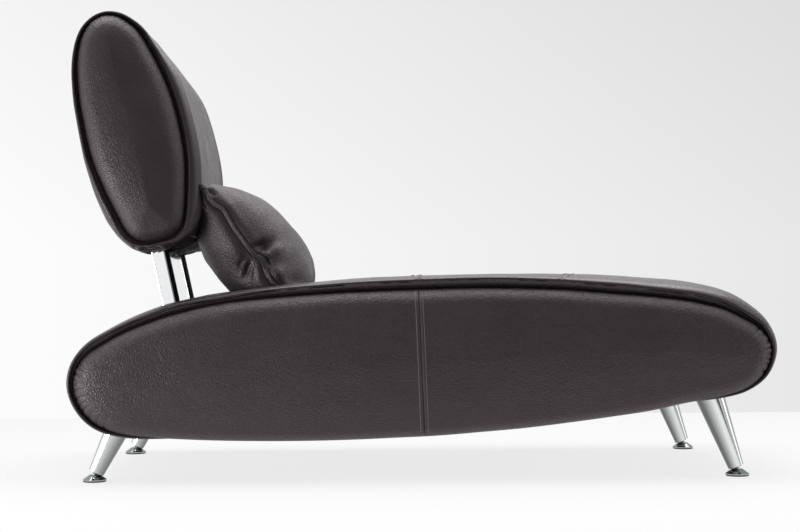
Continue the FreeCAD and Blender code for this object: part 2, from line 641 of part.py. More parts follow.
# --- backrest ------------------------------------------------------------------------------
bformer_in = "bformer_out - bformer_thk"
for tag, s in SIDES:
    y0, y1 = ("0 - bformer_out", "bformer_thk - bformer_out") if s < 0 else (bformer_in, "bformer_out")
    raw = oval_solid("bformer_raw_" + tag, "back", "0 - bfoam_thk - fit_gap", y0, y1)
    keep("back_former_" + tag, cut("back_former_" + tag, raw, [wood_screws]))
bwide = "bformer_out + bformer_out - bformer_thk - bformer_thk"
raw = box("back_board_raw", "bboard_v", "bformer_thk - bformer_out", "bboard_low", "bboard_thk", bwide, "bboard_high - bboard_low", back=True)
keep("back_board", cut("back_board", raw, [back_bolts, tee_nuts, wood_screws]))
for tag, s in SIDES:
    y0, y1, rim = ("0 - bpad_out", "0 - bformer_out", ("lo",)) if s < 0 else ("bformer_out", "bpad_out", ("hi",))
    keep("back_side_pad_" + tag, oval_solid("back_side_pad_" + tag, "back", "0 - pad_inset", y0, y1, "pad_roll", rim))
    y0, y1 = ("0 - bpad_out - skin", "0 - bcover_in") if s < 0 else ("bcover_in", "bpad_out + skin")
    skin = oval_solid("back_skin_" + tag, "back", "skin - pad_inset", y0, y1, "pad_roll + skin", rim)
    keep("back_side_cover_" + tag, cut("back_side_cover_" + tag, skin, [nodes["back_side_pad_" + tag]]))
    y = "0 - back_half - pipe_r - fit_gap" if s < 0 else "back_half + pipe_r + fit_gap"
    keep("back_piping_" + tag, piping("back_piping_" + tag, "back", "0 - pipe_in", y))
bfoam_raw = oval_solid("back_foam_raw", "bband", "0 - skin - fit_gap", "skin + fit_gap - back_half",
                       "back_half - skin - fit_gap", "back_roll - skin - fit_gap", ("lo", "hi"))
bfoam_core = oval_solid("back_foam_core", "back", "0 - bfoam_thk", "0 - 400", "400")
brooms = []
bmouths = []
for tag, s in SIDES:
    y0, y1 = ("0 - 400", "fit_gap - bformer_out") if s < 0 else ("bformer_out - fit_gap", "400")
    brooms.append(oval_solid("back_side_room_" + tag, "back", "fit_gap - pad_inset + skin", y0, y1))
    y0, y1 = ("0 - 400", "20 - back_half") if s < 0 else ("back_half - 20", "400")
    bmouths.append(oval_solid("back_mouth_" + tag, "back", "0 - flange", y0, y1))
keep("back_foam", cut("back_foam", bfoam_raw, [bfoam_core] + brooms + slot_tools))
bband_raw = oval_solid("back_band_raw", "bband", "0", "0 - back_half", "back_half", "back_roll", ("lo", "hi"))
bband_in = oval_solid("back_band_in", "bband", "0 - skin", "skin - back_half", "back_half - skin", "back_roll - skin", ("lo", "hi"))
bshell = cut("back_shell", bband_raw, [bband_in] + bmouths + slot_tools)
bwin = box("back_window", "close_v_rear", "0 - close_half", "bband_u_bot - 20", "close_v_front - close_v_rear",
           "close_half + close_half", "120", back=True)
keep("back_band_cover", cut("back_band_cover", bshell, [bwin]))
keep("back_closure", common("back_closure", bshell, bwin))

# --- posts ------------------------------------------------------------------------------------
for tag, s in SIDES:
    nm = "back_post_" + tag
    b = new_body(nm + "_tube")
    sk = new_sketch(b, nm + "_section", "XY_Plane")
    hx, hy, wl2 = half, g("post_wide") / 2, g("post_wall")
    for k, (ax, ay) in enumerate(((hx, hy), (hx - wl2, hy - wl2))):
        pts = [V(-ax, -ay, 0), V(ax, -ay, 0), V(ax, ay, 0), V(-ax, ay, 0)]
        o = 4 * k
        for i in range(4):
            sk.addGeometry(Part.LineSegment(pts[i], pts[(i + 1) % 4]), False)
        for i in range(4):
            sk.addConstraint(Sketcher.Constraint("Coincident", o + i, 2, o + (i + 1) % 4, 1))
        for i in (0, 2):
            sk.addConstraint(Sketcher.Constraint("Horizontal", o + i))
            sk.addConstraint(Sketcher.Constraint("Vertical", o + i + 1))
        sk.addConstraint(Sketcher.Constraint("Symmetric", o, 1, o + 1, 2, -1, 1))
        shrink = "" if k == 0 else " - 2 * dims.post_wall"
        n = sk.addConstraint(Sketcher.Constraint("DistanceX", o, 1, o, 2, 2 * ax))
        sk.renameConstraint(n, "thk%d" % k)
        sk.setExpression("Constraints.thk%d" % k, "dims.post_thk" + shrink)
        n = sk.addConstraint(Sketcher.Constraint("DistanceY", o + 1, 1, o + 1, 2, 2 * ay))
        sk.renameConstraint(n, "wide%d" % k)
        sk.setExpression("Constraints.wide%d" % k, "dims.post_wide" + shrink)
    pad = b.newObject("PartDesign::Pad", nm + "_pad")
    pad.Profile = sk
    pad.setExpression("Length", "dims.post_high - dims.post_low")
    b.Tip = pad
    doc.recompute()
    long_edges = {"out": [], "in": []}
    for i, e in enumerate(pad.Shape.Edges, start=1):
        bb = e.BoundBox
        if bb.XLength < 1e-6 and bb.YLength < 1e-6:
            long_edges["out" if abs(bb.XMin) > hx - 1e-3 else "in"].append("Edge%d" % i)
    f = b.newObject("PartDesign::Fillet", nm + "_corner")
    f.Base = (pad, long_edges["out"])
    f.setExpression("Radius", "dims.post_round")
    doc.recompute()
    inner = []
    for i, e in enumerate(f.Shape.Edges, start=1):
        bb = e.BoundBox
        if bb.XLength < 1e-6 and bb.YLength < 1e-6 and abs(abs(bb.XMin) - (hx - wl2)) < 1e-3 and abs(abs(bb.YMin) - (hy - wl2)) < 1e-3:
            inner.append("Edge%d" % i)
    f2 = b.newObject("PartDesign::Fillet", nm + "_inner")
    f2.Base = (f, inner)
    f2.setExpression("Radius", "dims.post_round - dims.post_wall")
    b.Tip = f2
    b.Placement = back_at(g("post_v"), s * g("post_y"), g("post_low"))
    holes = [cyl("%s_hole_%s" % (nm, u), "bolt_r", "post_thk + 20",
                 back_at(rear - 10, s * g("post_y"), g(u), ALONG_V))
             for u in ("beam_bolt_a", "beam_bolt_b", "back_bolt_a", "back_bolt_b")]
    doc.recompute()
    keep(nm, cut(nm, b, holes))

# --- legs and levelling feet ---------------------------------------------------------------------
bz, brad, fit = g("ball_z"), g("ball_r"), g("screw_fit")
bore = "journal_r + screw_fit"
for end in ENDS:
    for side in SIDES:
        nm = "%s_%s" % (end[0], side[0])
        top_name = end[4]
        slope = "tan(dims.leg_taper * 1deg)"

        def cone(height, less):
            num = g("leg_end_r") - val(less) + (val(height) - g("leg_end")) * tan5
            return (num, "dims.leg_end_r - (%s) + ((%s) - dims.leg_end) * %s" % (d(less), d(height), slope))

        keep("leg_" + nm, revolved("leg_" + nm, [
            ("leg_end_r - 0.8", "leg_end"), (cone("leg_end + 0.8", "0"), "leg_end + 0.8"),
            (cone(top_name, "0"), top_name), ("bolt_r", top_name),
            ("bolt_r", top_name + " - leg_cap"), (cone(top_name + " - leg_cap", "leg_wall"), top_name + " - leg_cap"),
            ("leg_end_r - leg_wall", "leg_end")], leg_place(end, side)))
        keep("glide_stem_" + nm, revolved("glide_stem_" + nm, [
            ("0", "0 - peen_low"), ("peen_r", "0 - peen_low"), ("peen_r", "0 - peen_high"), ("journal_r", "0 - peen_high"),
            ("journal_r", "ball_flat + peen_gap"), ("neck_r", "ball_flat + peen_gap"),
            ("neck_r", "neck_top"), ("screw_r", "neck_top + 1"), ("screw_r", "stem_top - 1"), ("screw_r - 1", "stem_top"),
            ("0", "stem_top")], leg_place(end, side)))
        cb = val("peen_r + fit_gap")
        zc = (-math.sqrt(brad ** 2 - cb ** 2), "-sqrt(dims.ball_r ^ 2 - (dims.peen_r + dims.fit_gap) ^ 2)")
        rf = (math.sqrt(brad ** 2 - g("ball_flat") ** 2), "sqrt(dims.ball_r ^ 2 - dims.ball_flat ^ 2)")
        keep("glide_ball_" + nm, revolved("glide_ball_" + nm, [
            (bore, "peen_gap - peen_high"), ("peen_r + fit_gap", "peen_gap - peen_high"), ("peen_r + fit_gap", zc),
            (rf, "ball_flat", ("0", "ball_r")), (bore, "ball_flat")], leg_place(end, side)))
        lip = math.radians(g("socket_lip"))
        rs = brad + fit
        lip_r = (rs * math.sin(lip), "(dims.ball_r + dims.screw_fit) * sin(dims.socket_lip * 1deg)")
        lip_z = (bz + rs * math.cos(lip), "dims.ball_z + (dims.ball_r + dims.screw_fit) * cos(dims.socket_lip * 1deg)")
        low = (bz - math.sqrt(rs ** 2 - 1.0), "dims.ball_z - sqrt((dims.ball_r + dims.screw_fit) ^ 2 - 1)")
        floor_place = FreeCAD.Placement(V(g(end[1]), side[1] * g("leg_y"), 0), FreeCAD.Rotation())
        keep("glide_pad_" + nm, revolved("glide_pad_" + nm, [
            ("0", "sole_thk"), ("pad_r - 0.6", "sole_thk"), ("pad_r", "sole_thk + 0.6"),
            ("pad_r", "sole_thk + pad_edge"), ("pad_top_r", lip_z), (lip_r, lip_z),
            ("1", low, ("ball_z", "ball_r + screw_fit")), ("0", low)], floor_place))
        keep("glide_sole_" + nm, revolved("glide_sole_" + nm, [
            ("0", "0"), ("sole_r - 0.8", "0"), ("sole_r", "0.8"), ("sole_r", "sole_thk"), ("0", "sole_thk")], floor_place))

# --- loose cushion ----------------------------------------------------------------------------------
cush_rot = FreeCAD.Rotation(V(0, 1, 0), -g("cush_lean"))
cush_place = FreeCAD.Placement(V(g("cush_x"), 0, g("cush_z")), cush_rot)


def cushion(name, shrink):
    """Plump block: the oval section across the sitter, both ends rolled."""
    b = oval_solid(name, "cush", "0 - " + shrink, "%s - cush_half_wide" % shrink, "cush_half_wide - " + shrink,
                   "cush_roll - " + shrink, ("lo", "hi"))
    b.Placement = cush_place
    doc.recompute()
    return b


seat_clear = oval_solid("cush_seat_room", "band", "cush_gap", "0 - 400", "400")
back_clear = oval_solid("cush_back_room", "bband", "cush_gap", "0 - 400", "400")
seat_clear2 = oval_solid("fill_seat_room", "band", "cush_gap + skin", "0 - 400", "400")
back_clear2 = oval_solid("fill_back_room", "bband", "cush_gap + skin", "0 - 400", "400")
cush_out = cut("cushion_out", cushion("cush_a", "0"), [seat_clear, back_clear])
cush_in = cut("cushion_in", cushion("cush_b", "skin"), [seat_clear2, back_clear2])
keep("cushion_fill", cush_in)
keep("cushion_cover", cut("cushion_cover", cush_out, [cush_in]))

# --- check and write -----------------------------------------------------------------------------------
doc.recompute()
bad = []
for o in doc.Objects:
    if "Invalid" in o.State or "Error" in o.State:
        bad.append("%s state %s" % (o.Label, o.State))
for name, o in nodes.items():
    sh = o.Shape
    if sh.isNull() or not sh.isValid() or not sh.Solids:
        bad.append("%s shape null %s solids %d" % (name, sh.isNull(), 0 if sh.isNull() else len(sh.Solids)))
if bad:
    for line in bad:
        print("PROBLEM", line)
    raise RuntimeError("%d problems" % len(bad))
os.makedirs("parts", exist_ok=True)
for name, o in nodes.items():
    o.Shape.exportStep("parts/%s.step" % name)
    bb = o.Shape.BoundBox
    print("%-26s solids %2d vol %10.0f  X %.0f..%.0f Y %.0f..%.0f Z %.1f..%.1f" % (
        name, len(o.Shape.Solids), o.Shape.Volume, bb.XMin, bb.XMax, bb.YMin, bb.YMax, bb.ZMin, bb.ZMax))
print("nodes", len(nodes))
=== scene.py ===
import bpy
import json
import math
import numpy as np
from mathutils import Matrix, Vector


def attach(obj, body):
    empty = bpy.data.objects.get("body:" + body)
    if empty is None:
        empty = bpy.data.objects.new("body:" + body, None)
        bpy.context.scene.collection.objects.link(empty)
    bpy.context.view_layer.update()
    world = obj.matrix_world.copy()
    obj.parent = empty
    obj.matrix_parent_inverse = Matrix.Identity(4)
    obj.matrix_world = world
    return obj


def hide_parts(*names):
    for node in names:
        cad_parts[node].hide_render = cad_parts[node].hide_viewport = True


# Looks of the chaise longue: leather upholstery, metal legs and posts, floor, light and camera.
# Lengths below are millimetres unless a name says otherwise; the row frame is in metres.

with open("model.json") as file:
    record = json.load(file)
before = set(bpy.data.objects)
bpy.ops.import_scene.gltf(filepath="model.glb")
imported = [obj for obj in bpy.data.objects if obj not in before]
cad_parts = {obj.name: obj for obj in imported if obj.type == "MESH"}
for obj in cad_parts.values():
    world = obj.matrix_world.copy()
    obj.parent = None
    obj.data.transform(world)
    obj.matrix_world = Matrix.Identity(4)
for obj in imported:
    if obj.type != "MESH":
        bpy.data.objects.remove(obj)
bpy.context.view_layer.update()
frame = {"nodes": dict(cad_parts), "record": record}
NODES = frame["nodes"]
scene = bpy.context.scene
MM = 0.001


# --- small helpers -----------------------------------------------------------------------------
def waves(P, wavelength, seed, count=7):
    """Smooth repeatable wobble of about unit size at each point."""
    rng = np.random.default_rng(seed)
    out = np.zeros(len(P))
    for _ in range(count):
        k = rng.normal(size=P.shape[1])
        k /= np.linalg.norm(k)
        out += np.sin(P @ k * (2 * np.pi / (wavelength * rng.uniform(0.7, 1.4))) + rng.uniform(0, 2 * np.pi))
    return out / math.sqrt(count)


def smooth(x, a, b):
    t = np.clip((x - a) / (b - a), 0.0, 1.0)
    return t * t * (3 - 2 * t)


def blur(Q, step, sigma):
    """Gaussian smoothing of a closed evenly spaced row of values."""
    F = np.fft.fft(Q, axis=0)
    f = np.fft.fftfreq(len(Q), d=step)
    g = np.exp(-2 * (np.pi * sigma * f) ** 2)
    F = F * (g[:, None] if Q.ndim == 2 else g)
    return np.real(np.fft.ifft(F, axis=0))


class Line:
    """Closed smooth outline through measured points, clockwise seen from -Y, with outward normals."""

    def __init__(self, points, step=1.0, sigma=9.0):
        P = np.array(points, float)
        n = len(P)
        parts = []
        for i in range(n):
            p0, p1, p2, p3 = P[i - 1], P[i], P[(i + 1) % n], P[(i + 2) % n]
            t0 = 0.0
            t1 = t0 + np.linalg.norm(p1 - p0) ** 0.5
            t2 = t1 + np.linalg.norm(p2 - p1) ** 0.5
            t3 = t2 + np.linalg.norm(p3 - p2) ** 0.5
            t = np.linspace(t1, t2, 40, endpoint=False)[:, None]
            a1 = (t1 - t) / (t1 - t0) * p0 + (t - t0) / (t1 - t0) * p1
            a2 = (t2 - t) / (t2 - t1) * p1 + (t - t1) / (t2 - t1) * p2
            a3 = (t3 - t) / (t3 - t2) * p2 + (t - t2) / (t3 - t2) * p3
            b1 = (t2 - t) / (t2 - t0) * a1 + (t - t0) / (t2 - t0) * a2
            b2 = (t3 - t) / (t3 - t1) * a2 + (t - t1) / (t3 - t1) * a3
            parts.append((t2 - t) / (t2 - t1) * b1 + (t - t1) / (t2 - t1) * b2)
        Q = np.vstack(parts)
        for _ in range(3):
            Q = self._even(Q, step)
        Q = blur(Q, step, sigma)
        Q = self._even(Q, step)
        self.Q = Q
        self.N = len(Q)
        seg = np.linalg.norm(np.roll(Q, -1, 0) - Q, axis=1)
        self.length = seg.sum()
        self.arc = np.r_[0, np.cumsum(seg)[:-1]]
        T = np.roll(Q, -1, 0) - np.roll(Q, 1, 0)
        T = blur(T, step, 3.0)
        T /= np.linalg.norm(T, axis=1)[:, None]
        self.T = T
        self.Nrm = np.c_[-T[:, 1], T[:, 0]]

    @staticmethod
    def _even(Q, step):
        C = np.vstack([Q, Q[:1]])
        s = np.r_[0, np.cumsum(np.linalg.norm(np.diff(C, axis=0), axis=1))]
        n = int(round(s[-1] / step))
        u = np.linspace(0, s[-1], n, endpoint=False)
        return np.c_[np.interp(u, s, C[:, 0]), np.interp(u, s, C[:, 1])]

    def _at(self, values, arc):
        return np.interp(np.mod(arc, self.length), np.r_[self.arc, self.length], np.r_[values, values[:1]])

    def point(self, arc):
        return np.c_[self._at(self.Q[:, 0], arc), self._at(self.Q[:, 1], arc)]

    def normal(self, arc):
        n = np.c_[self._at(self.Nrm[:, 0], arc), self._at(self.Nrm[:, 1], arc)]
        return n / np.linalg.norm(n, axis=1)[:, None]

    def arc_near(self, x, z):
        return self.arc[np.argmin((self.Q[:, 0] - x) ** 2 + (self.Q[:, 1] - z) ** 2)]

    def along(self, keys, sigma=25.0):
        """A value that changes smoothly along the line; keys are (x, z, value). One value per dense point."""
        k = sorted((self.arc_near(x, z), v) for x, z, v in keys)
        a = np.array([q[0] for q in k])
        v = np.array([q[1] for q in k], float)
        a = np.r_[a[-1] - self.length, a, a[0] + self.length]
        v = np.r_[v[-1], v, v[0]]
        return blur(np.interp(self.arc, a, v), self.length / self.N, sigma)

    def keyed(self, keys, sigma=10.0):
        """Like along, with keys (arc length, value)."""
        a = np.array([k[0] for k in keys], float)
        v = np.array([k[1] for k in keys], float)
        a = np.r_[a[-1] - self.length, a, a[0] + self.length]
        v = np.r_[v[-1], v, v[0]]
        return blur(np.interp(self.arc, a, v), self.length / self.N, sigma)

    def places(self, spacing):
        """Arc positions whose spacing follows the given per-point spacing."""
        dens = 1.0 / np.asarray(spacing, float)
        c = np.r_[0, np.cumsum(dens * self.length / self.N)]
        n = int(round(c[-1]))
        return np.interp(np.arange(n) * c[-1] / n, c, np.r_[self.arc, self.length])


def add_mesh(name, V, F, body, mat, painted_shade=None):
    me = bpy.data.meshes.new(name)
    me.from_pydata([tuple(p) for p in np.asarray(V, float) * MM], [], [tuple(int(i) for i in f) for f in F])
    me.validate()
    me.update()
    me.shade_smooth()
    # optional per-point painted shade, read by the leather materials to darken grooves, seams and creases
    if painted_shade is not None:
        att = me.attributes.new("painted_shade", "FLOAT", "POINT")
        att.data.foreach_set("value", np.asarray(painted_shade, np.float32))
    ob = bpy.data.objects.new(name, me)
    scene.collection.objects.link(ob)
    if mat is not None:
        me.materials.append(mat)
    if body:
        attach(ob, body)
    return ob


def grid_faces(n, m, closed=True, flip=False):
    """Quads of n rows by m columns; rows wrap round when closed."""
    out = []
    for i in range(n if closed else n - 1):
        a, b = i * m, ((i + 1) % n) * m
        for j in range(m - 1):
            q = (a + j, a + j + 1, b + j + 1, b + j)
            out.append(q[::-1] if flip else q)
    return out


def thicken(ob, mm, offset=-1.0):
    m = ob.modifiers.new("hide_thickness", "SOLIDIFY")
    m.thickness = mm * MM
    m.offset = offset
    m.use_even_offset = False
    return m


# --- materials ---------------------------------------------------------------------------------
class Mat:
    """Thin wrapper that keeps node building short."""

    def __init__(self, name):
        self.m = bpy.data.materials.new(name)
        self.m.use_nodes = True
        self.t = self.m.node_tree
        self.t.nodes.clear()
        self.out = self.n("ShaderNodeOutputMaterial")
        self.bsdf = self.n("ShaderNodeBsdfPrincipled")
        self.link(self.bsdf.outputs["BSDF"], self.out.inputs["Surface"])

    def n(self, kind, **props):
        node = self.t.nodes.new(kind)
        for k, v in props.items():
            setattr(node, k, v)
        return node

    def link(self, a, b):
        self.t.links.new(a, b)

    def set(self, **values):
        for k, v in values.items():
            self.bsdf.inputs[k.replace("_", " ")].default_value = v

    def coords(self, scale=(1, 1, 1)):
        tc = self.n("ShaderNodeTexCoord")
        mp = self.n("ShaderNodeMapping")
        mp.inputs["Scale"].default_value = scale
        self.link(tc.outputs["Object"], mp.inputs["Vector"])
        return mp.outputs["Vector"]

    def noise(self, vec, scale, detail=3.0, rough=0.55, distortion=0.0):
        nd = self.n("ShaderNodeTexNoise")
        nd.inputs["Scale"].default_value = scale
        nd.inputs["Detail"].default_value = detail
        nd.inputs["Roughness"].default_value = rough
        nd.inputs["Distortion"].default_value = distortion
        self.link(vec, nd.inputs["Vector"])
        return nd.outputs["Fac"]

    def ramp(self, fac, stops):
        r = self.n("ShaderNodeValToRGB")
        el = r.color_ramp.elements
        while len(el) < len(stops):
            el.new(0.5)
        for e, (p, c) in zip(el, stops):
            e.position = p
            e.color = (*c, 1) if len(c) == 3 else c
        self.link(fac, r.inputs["Fac"])
        return r.outputs["Color"]

    def math(self, op, a, b, clamp=False):
        nd = self.n("ShaderNodeMath", operation=op, use_clamp=clamp)
        for i, v in enumerate((a, b)):
            if isinstance(v, (int, float)):
                nd.inputs[i].default_value = v
            else:
                self.link(v, nd.inputs[i])
        return nd.outputs["Value"]

    def mixc(self, fac, a, b, blend="MIX"):
        nd = self.n("ShaderNodeMix", data_type="RGBA", blend_type=blend)
        for key, v in (("Factor", fac), ("A", a), ("B", b)):
            sock = [s for s in nd.inputs if s.name == key and s.enabled and (key == "Factor" or s.type == "RGBA")][0]
            if isinstance(v, (int, float)):
                sock.default_value = v
            elif isinstance(v, tuple):
                sock.default_value = (*v, 1)
            else:
                self.link(v, sock)
        return [s for s in nd.outputs if s.enabled and s.type == "RGBA"][0]

    def bump(self, height, strength, distance, normal=None):
        b = self.n("ShaderNodeBump")
        b.inputs["Strength"].default_value = strength
        b.inputs["Distance"].default_value = distance
        self.link(height, b.inputs["Height"])
        if normal is not None:
            self.link(normal, b.inputs["Normal"])
        return b.outputs["Normal"]


def leather(name, base=(0.0165, 0.0105, 0.0135), rough=0.33, grain=1.0, scale=1.0, coat=0.0, shine=0.5):
    m = Mat(name)
    v = m.coords()
    # irregular pebble grain: cells warped by noise, creases between them
    warp = m.n("ShaderNodeTexNoise")
    warp.inputs["Scale"].default_value = 120 * scale
    warp.inputs["Detail"].default_value = 2
    m.link(v, warp.inputs["Vector"])
    add = m.n("ShaderNodeVectorMath", operation="MULTIPLY_ADD")
    m.link(warp.outputs["Color"], add.inputs[0])
    add.inputs[1].default_value = (0.0035 / scale,) * 3
    m.link(v, add.inputs[2])
    cell = m.n("ShaderNodeTexVoronoi", feature="DISTANCE_TO_EDGE")
    cell.inputs["Scale"].default_value = 185 * scale
    m.link(add.outputs["Vector"], cell.inputs["Vector"])
    pebble = m.ramp(cell.outputs["Distance"], [(0.0, (0, 0, 0)), (0.17, (0.5,) * 3), (0.36, (1, 1, 1))])
    cell2 = m.n("ShaderNodeTexVoronoi", feature="F1")
    cell2.inputs["Scale"].default_value = 105 * scale
    m.link(add.outputs["Vector"], cell2.inputs["Vector"])
    fine = m.noise(v, 1500 * scale, 2)
    broad = m.noise(v, 22, 3)
    h = m.math("ADD", m.math("MULTIPLY", pebble, 0.62), m.math("MULTIPLY", cell2.outputs["Distance"], 0.55))
    h = m.math("ADD", h, m.math("MULTIPLY", fine, 0.05))
    n1 = m.bump(broad, 0.12, 0.004)
    n2 = m.bump(h, 0.80 * grain, 0.0023, n1)
    m.link(n2, m.bsdf.inputs["Normal"])
    # colour: slow tone changes, creases between pebbles a little darker, and painted shade from a per-point mesh value
    # that pulls the colour darker in grooves, seams, creases and fold valleys
    tone = m.ramp(m.noise(v, 5.0, 4), [(0.30, tuple(0.86 * c for c in base)), (0.70, tuple(1.14 * c for c in base))])
    dark = m.mixc(m.ramp(cell.outputs["Distance"], [(0.0, (1, 1, 1)), (0.14, (0, 0, 0))]), tone, tuple(0.55 * c for c in base))
    # painted shade: the per-point value darkens the colour where shadow falls in grooves, seams and creases
    att = m.n("ShaderNodeAttribute", attribute_name="painted_shade")
    painted_crease_shade = m.mixc(m.math("MULTIPLY", att.outputs["Fac"], 0.75, True), dark, tuple(0.35 * c for c in base))
    m.link(painted_crease_shade, m.bsdf.inputs["Base Color"])
    rr = m.ramp(m.noise(v, 9.0, 3), [(0.3, (rough - 0.05,) * 3), (0.7, (rough + 0.06,) * 3)])
    rr2 = m.mixc(m.ramp(cell.outputs["Distance"], [(0.0, (0.55,) * 3), (0.2, (0, 0, 0))]), rr, (0.72,) * 3)
    m.link(rr2, m.bsdf.inputs["Roughness"])
    m.set(Specular_IOR_Level=shine, Specular_Tint=(1.0, 0.905, 0.95, 1.0))
    if coat:
        m.set(Coat_Weight=coat, Coat_Roughness=0.35)
    return m.m


def thread():
    m = Mat("stitch_thread")
    v = m.coords()
    col = m.ramp(m.noise(v, 900, 2), [(0.3, (0.17, 0.157, 0.162)), (0.7, (0.27, 0.252, 0.258))])
    m.link(col, m.bsdf.inputs["Base Color"])
    m.link(m.bump(m.noise(v, 2600, 2), 0.4, 0.0003), m.bsdf.inputs["Normal"])
    m.set(Roughness=0.5)
    return m.m


def metal(name, color, rough, brushed=0.0, along=(1, 1, 1), black_to=None, painted_streaks=None):
    m = Mat(name)
    v = m.coords(along)
    col = m.ramp(m.noise(v, 7.0, 3), [(0.3, tuple(0.965 * c for c in color)), (0.7, color)])
    if painted_streaks is not None:  # painted reflection: dark and bright streaks set by which way the tube faces, standing in for a polished tube's reflections
        face = m.n("ShaderNodeNewGeometry")
        sep = m.n("ShaderNodeSeparateXYZ")
        m.link(face.outputs["Normal"], sep.inputs["Vector"])
        turn = m.math("ADD", m.math("MULTIPLY", sep.outputs["X"], 0.5), 0.5)
        col = m.mixc(1.0, col, m.ramp(turn, [(p, (g, g, g)) for p, g in painted_streaks]), "MULTIPLY")
    m.link(col, m.bsdf.inputs["Base Color"])
    smear = m.noise(v, 14.0, 5)
    rr = m.ramp(smear, [(0.3, (rough * 0.8,) * 3), (0.7, (rough * 1.25,) * 3)])
    m.link(rr, m.bsdf.inputs["Roughness"])
    if brushed:
        fine = m.noise(m.coords((1600, 1600, 18)), 1.0, 2)
        m.link(m.bump(fine, brushed, 0.0002), m.bsdf.inputs["Normal"])
    m.set(Metallic=1.0)
    if black_to is not None:  # the faces turned this way are drawn matte near-black
        geo = m.n("ShaderNodeNewGeometry")
        dot = m.n("ShaderNodeVectorMath", operation="DOT_PRODUCT")
        m.link(geo.outputs["True Normal"], dot.inputs[0])
        dot.inputs[1].default_value = black_to
        dark_face = m.n("ShaderNodeBsdfPrincipled")
        dark_face.inputs["Roughness"].default_value = 0.9
        dark_face.inputs["Specular IOR Level"].default_value = 0.05
        m.link(m.ramp(m.noise(m.coords(), 300, 2), [(0.3, (0.007, 0.008, 0.006)), (0.7, (0.012, 0.013, 0.011))]), dark_face.inputs["Base Color"])
        mix = m.n("ShaderNodeMixShader")
        m.link(m.ramp(dot.outputs["Value"], [(0.40, (0, 0, 0)), (0.55, (1, 1, 1))]), mix.inputs["Fac"])
        m.link(m.bsdf.outputs["BSDF"], mix.inputs[1])
        m.link(dark_face.outputs["BSDF"], mix.inputs[2])
        m.link(mix.outputs["Shader"], m.out.inputs["Surface"])
    return m.m


def plain(name, color, rough, bump_scale, bump_depth, strength=0.3, detail=4, stretch=(1, 1, 1), spread=0.18):
    m = Mat(name)
    v = m.coords(stretch)
    nz = m.noise(v, bump_scale, detail)
    col = m.ramp(nz, [(0.3, tuple((1 - spread) * c for c in color)), (0.7, tuple(min(1, (1 + spread) * c) for c in color))])
    m.link(col, m.bsdf.inputs["Base Color"])
    m.link(m.ramp(m.noise(v, bump_scale * 0.4, 2), [(0.3, (rough - 0.06,) * 3), (0.7, (rough + 0.06,) * 3)]), m.bsdf.inputs["Roughness"])
    m.link(m.bump(nz, strength, bump_depth), m.bsdf.inputs["Normal"])
    return m.m


def woven(name, color, pitch_mm, depth=0.0004):
    """Plain weave from two crossed wave patterns."""
    m = Mat(name)
    v = m.coords()
    k = 2 * math.pi / (pitch_mm * MM) / (2 * math.pi) * 6.2832 / 20.0
    outs = []
    for axis in ("X", "Y"):
        w = m.n("ShaderNodeTexWave", wave_type="BANDS", bands_direction=axis, wave_profile="SIN")
        w.inputs["Scale"].default_value = k
        w.inputs["Distortion"].default_value = 0.6
        w.inputs["Detail Scale"].default_value = 2.0
        m.link(v, w.inputs["Vector"])
        outs.append(w.outputs["Fac"])
    h = m.math("MULTIPLY", outs[0], outs[1])
    col = m.ramp(h, [(0.1, tuple(0.6 * c for c in color)), (0.8, tuple(1.25 * c for c in color))])
    m.link(col, m.bsdf.inputs["Base Color"])
    m.link(m.bump(h, 0.5, depth), m.bsdf.inputs["Normal"])
    m.set(Roughness=0.85)
    return m.m


LEATHER = leather("leather_panel", grain=0.52, rough=0.37, scale=1.15)
LEATHER_BACK_SIDE = leather("leather_back_panel", grain=0.36, rough=0.39, scale=1.2)
LEATHER_TOP = leather("leather_band", grain=0.20, rough=0.28)
LEATHER_SOFT = leather("leather_cushion", grain=0.42, rough=0.43)
LEATHER_BACK = leather("leather_back_band", grain=0.24, rough=0.36)
SHADE = plain("seam_shade", (0.004, 0.003, 0.0035), 0.9, 900, 0.0002)
# darker copy of the same leather: painted shade for the gathered underside under the backrest
LEATHER_FOLD = leather("leather_gathers", grain=0.4, rough=0.34, base=(0.012, 0.007, 0.0095), shine=0.4)
# painted shade: the piping's leather is made near-black and dull so it reads as the dark groove it lies in
WELT_PAINTED_SHADE = leather("leather_welt_painted_shade", base=(0.0035, 0.0022, 0.0028), grain=0.5, rough=0.55, scale=1.6, shine=0.12)
THREAD = thread()
CHROME = metal("bright_chrome", (0.86, 0.87, 0.88), 0.055)
POST = metal("post_chrome", (0.90, 0.91, 0.92), 0.05, black_to=(math.cos(math.radians(12)), 0.0, math.sin(math.radians(12))))
SATIN = metal("satin_chrome", (0.50, 0.53, 0.525), 0.11, brushed=0.08)
# the two leg pairs get the same chrome in two brightnesses, each with its own painted reflection streaks
LEG_FOOT = metal("leg_chrome_foot", (0.57, 0.593, 0.586), 0.10, brushed=0.06,
                 painted_streaks=[(0.0, 0.16), (0.14, 0.22), (0.33, 0.62), (0.50, 1.0), (0.70, 0.95), (0.75, 0.35), (0.80, 0.95), (1.0, 0.85)])
LEG_HEAD = metal("leg_chrome_head", (0.62, 0.646, 0.637), 0.10, brushed=0.06,
                 painted_streaks=[(0.0, 0.60), (0.12, 0.9), (0.30, 1.0), (0.45, 0.70), (0.70, 0.42), (0.90, 0.22), (1.0, 0.2)])
PAD = metal("pad_chrome", (0.26, 0.28, 0.275), 0.12)
STEEL = metal("zinc_steel", (0.55, 0.55, 0.56), 0.32, brushed=0.1)
RUBBER = plain("black_rubber", (0.018, 0.018, 0.019), 0.62, 900, 0.0003)
WOOD = plain("raw_timber", (0.56, 0.40, 0.24), 0.62, 60, 0.0008, 0.4, 6, (1, 0.15, 1))
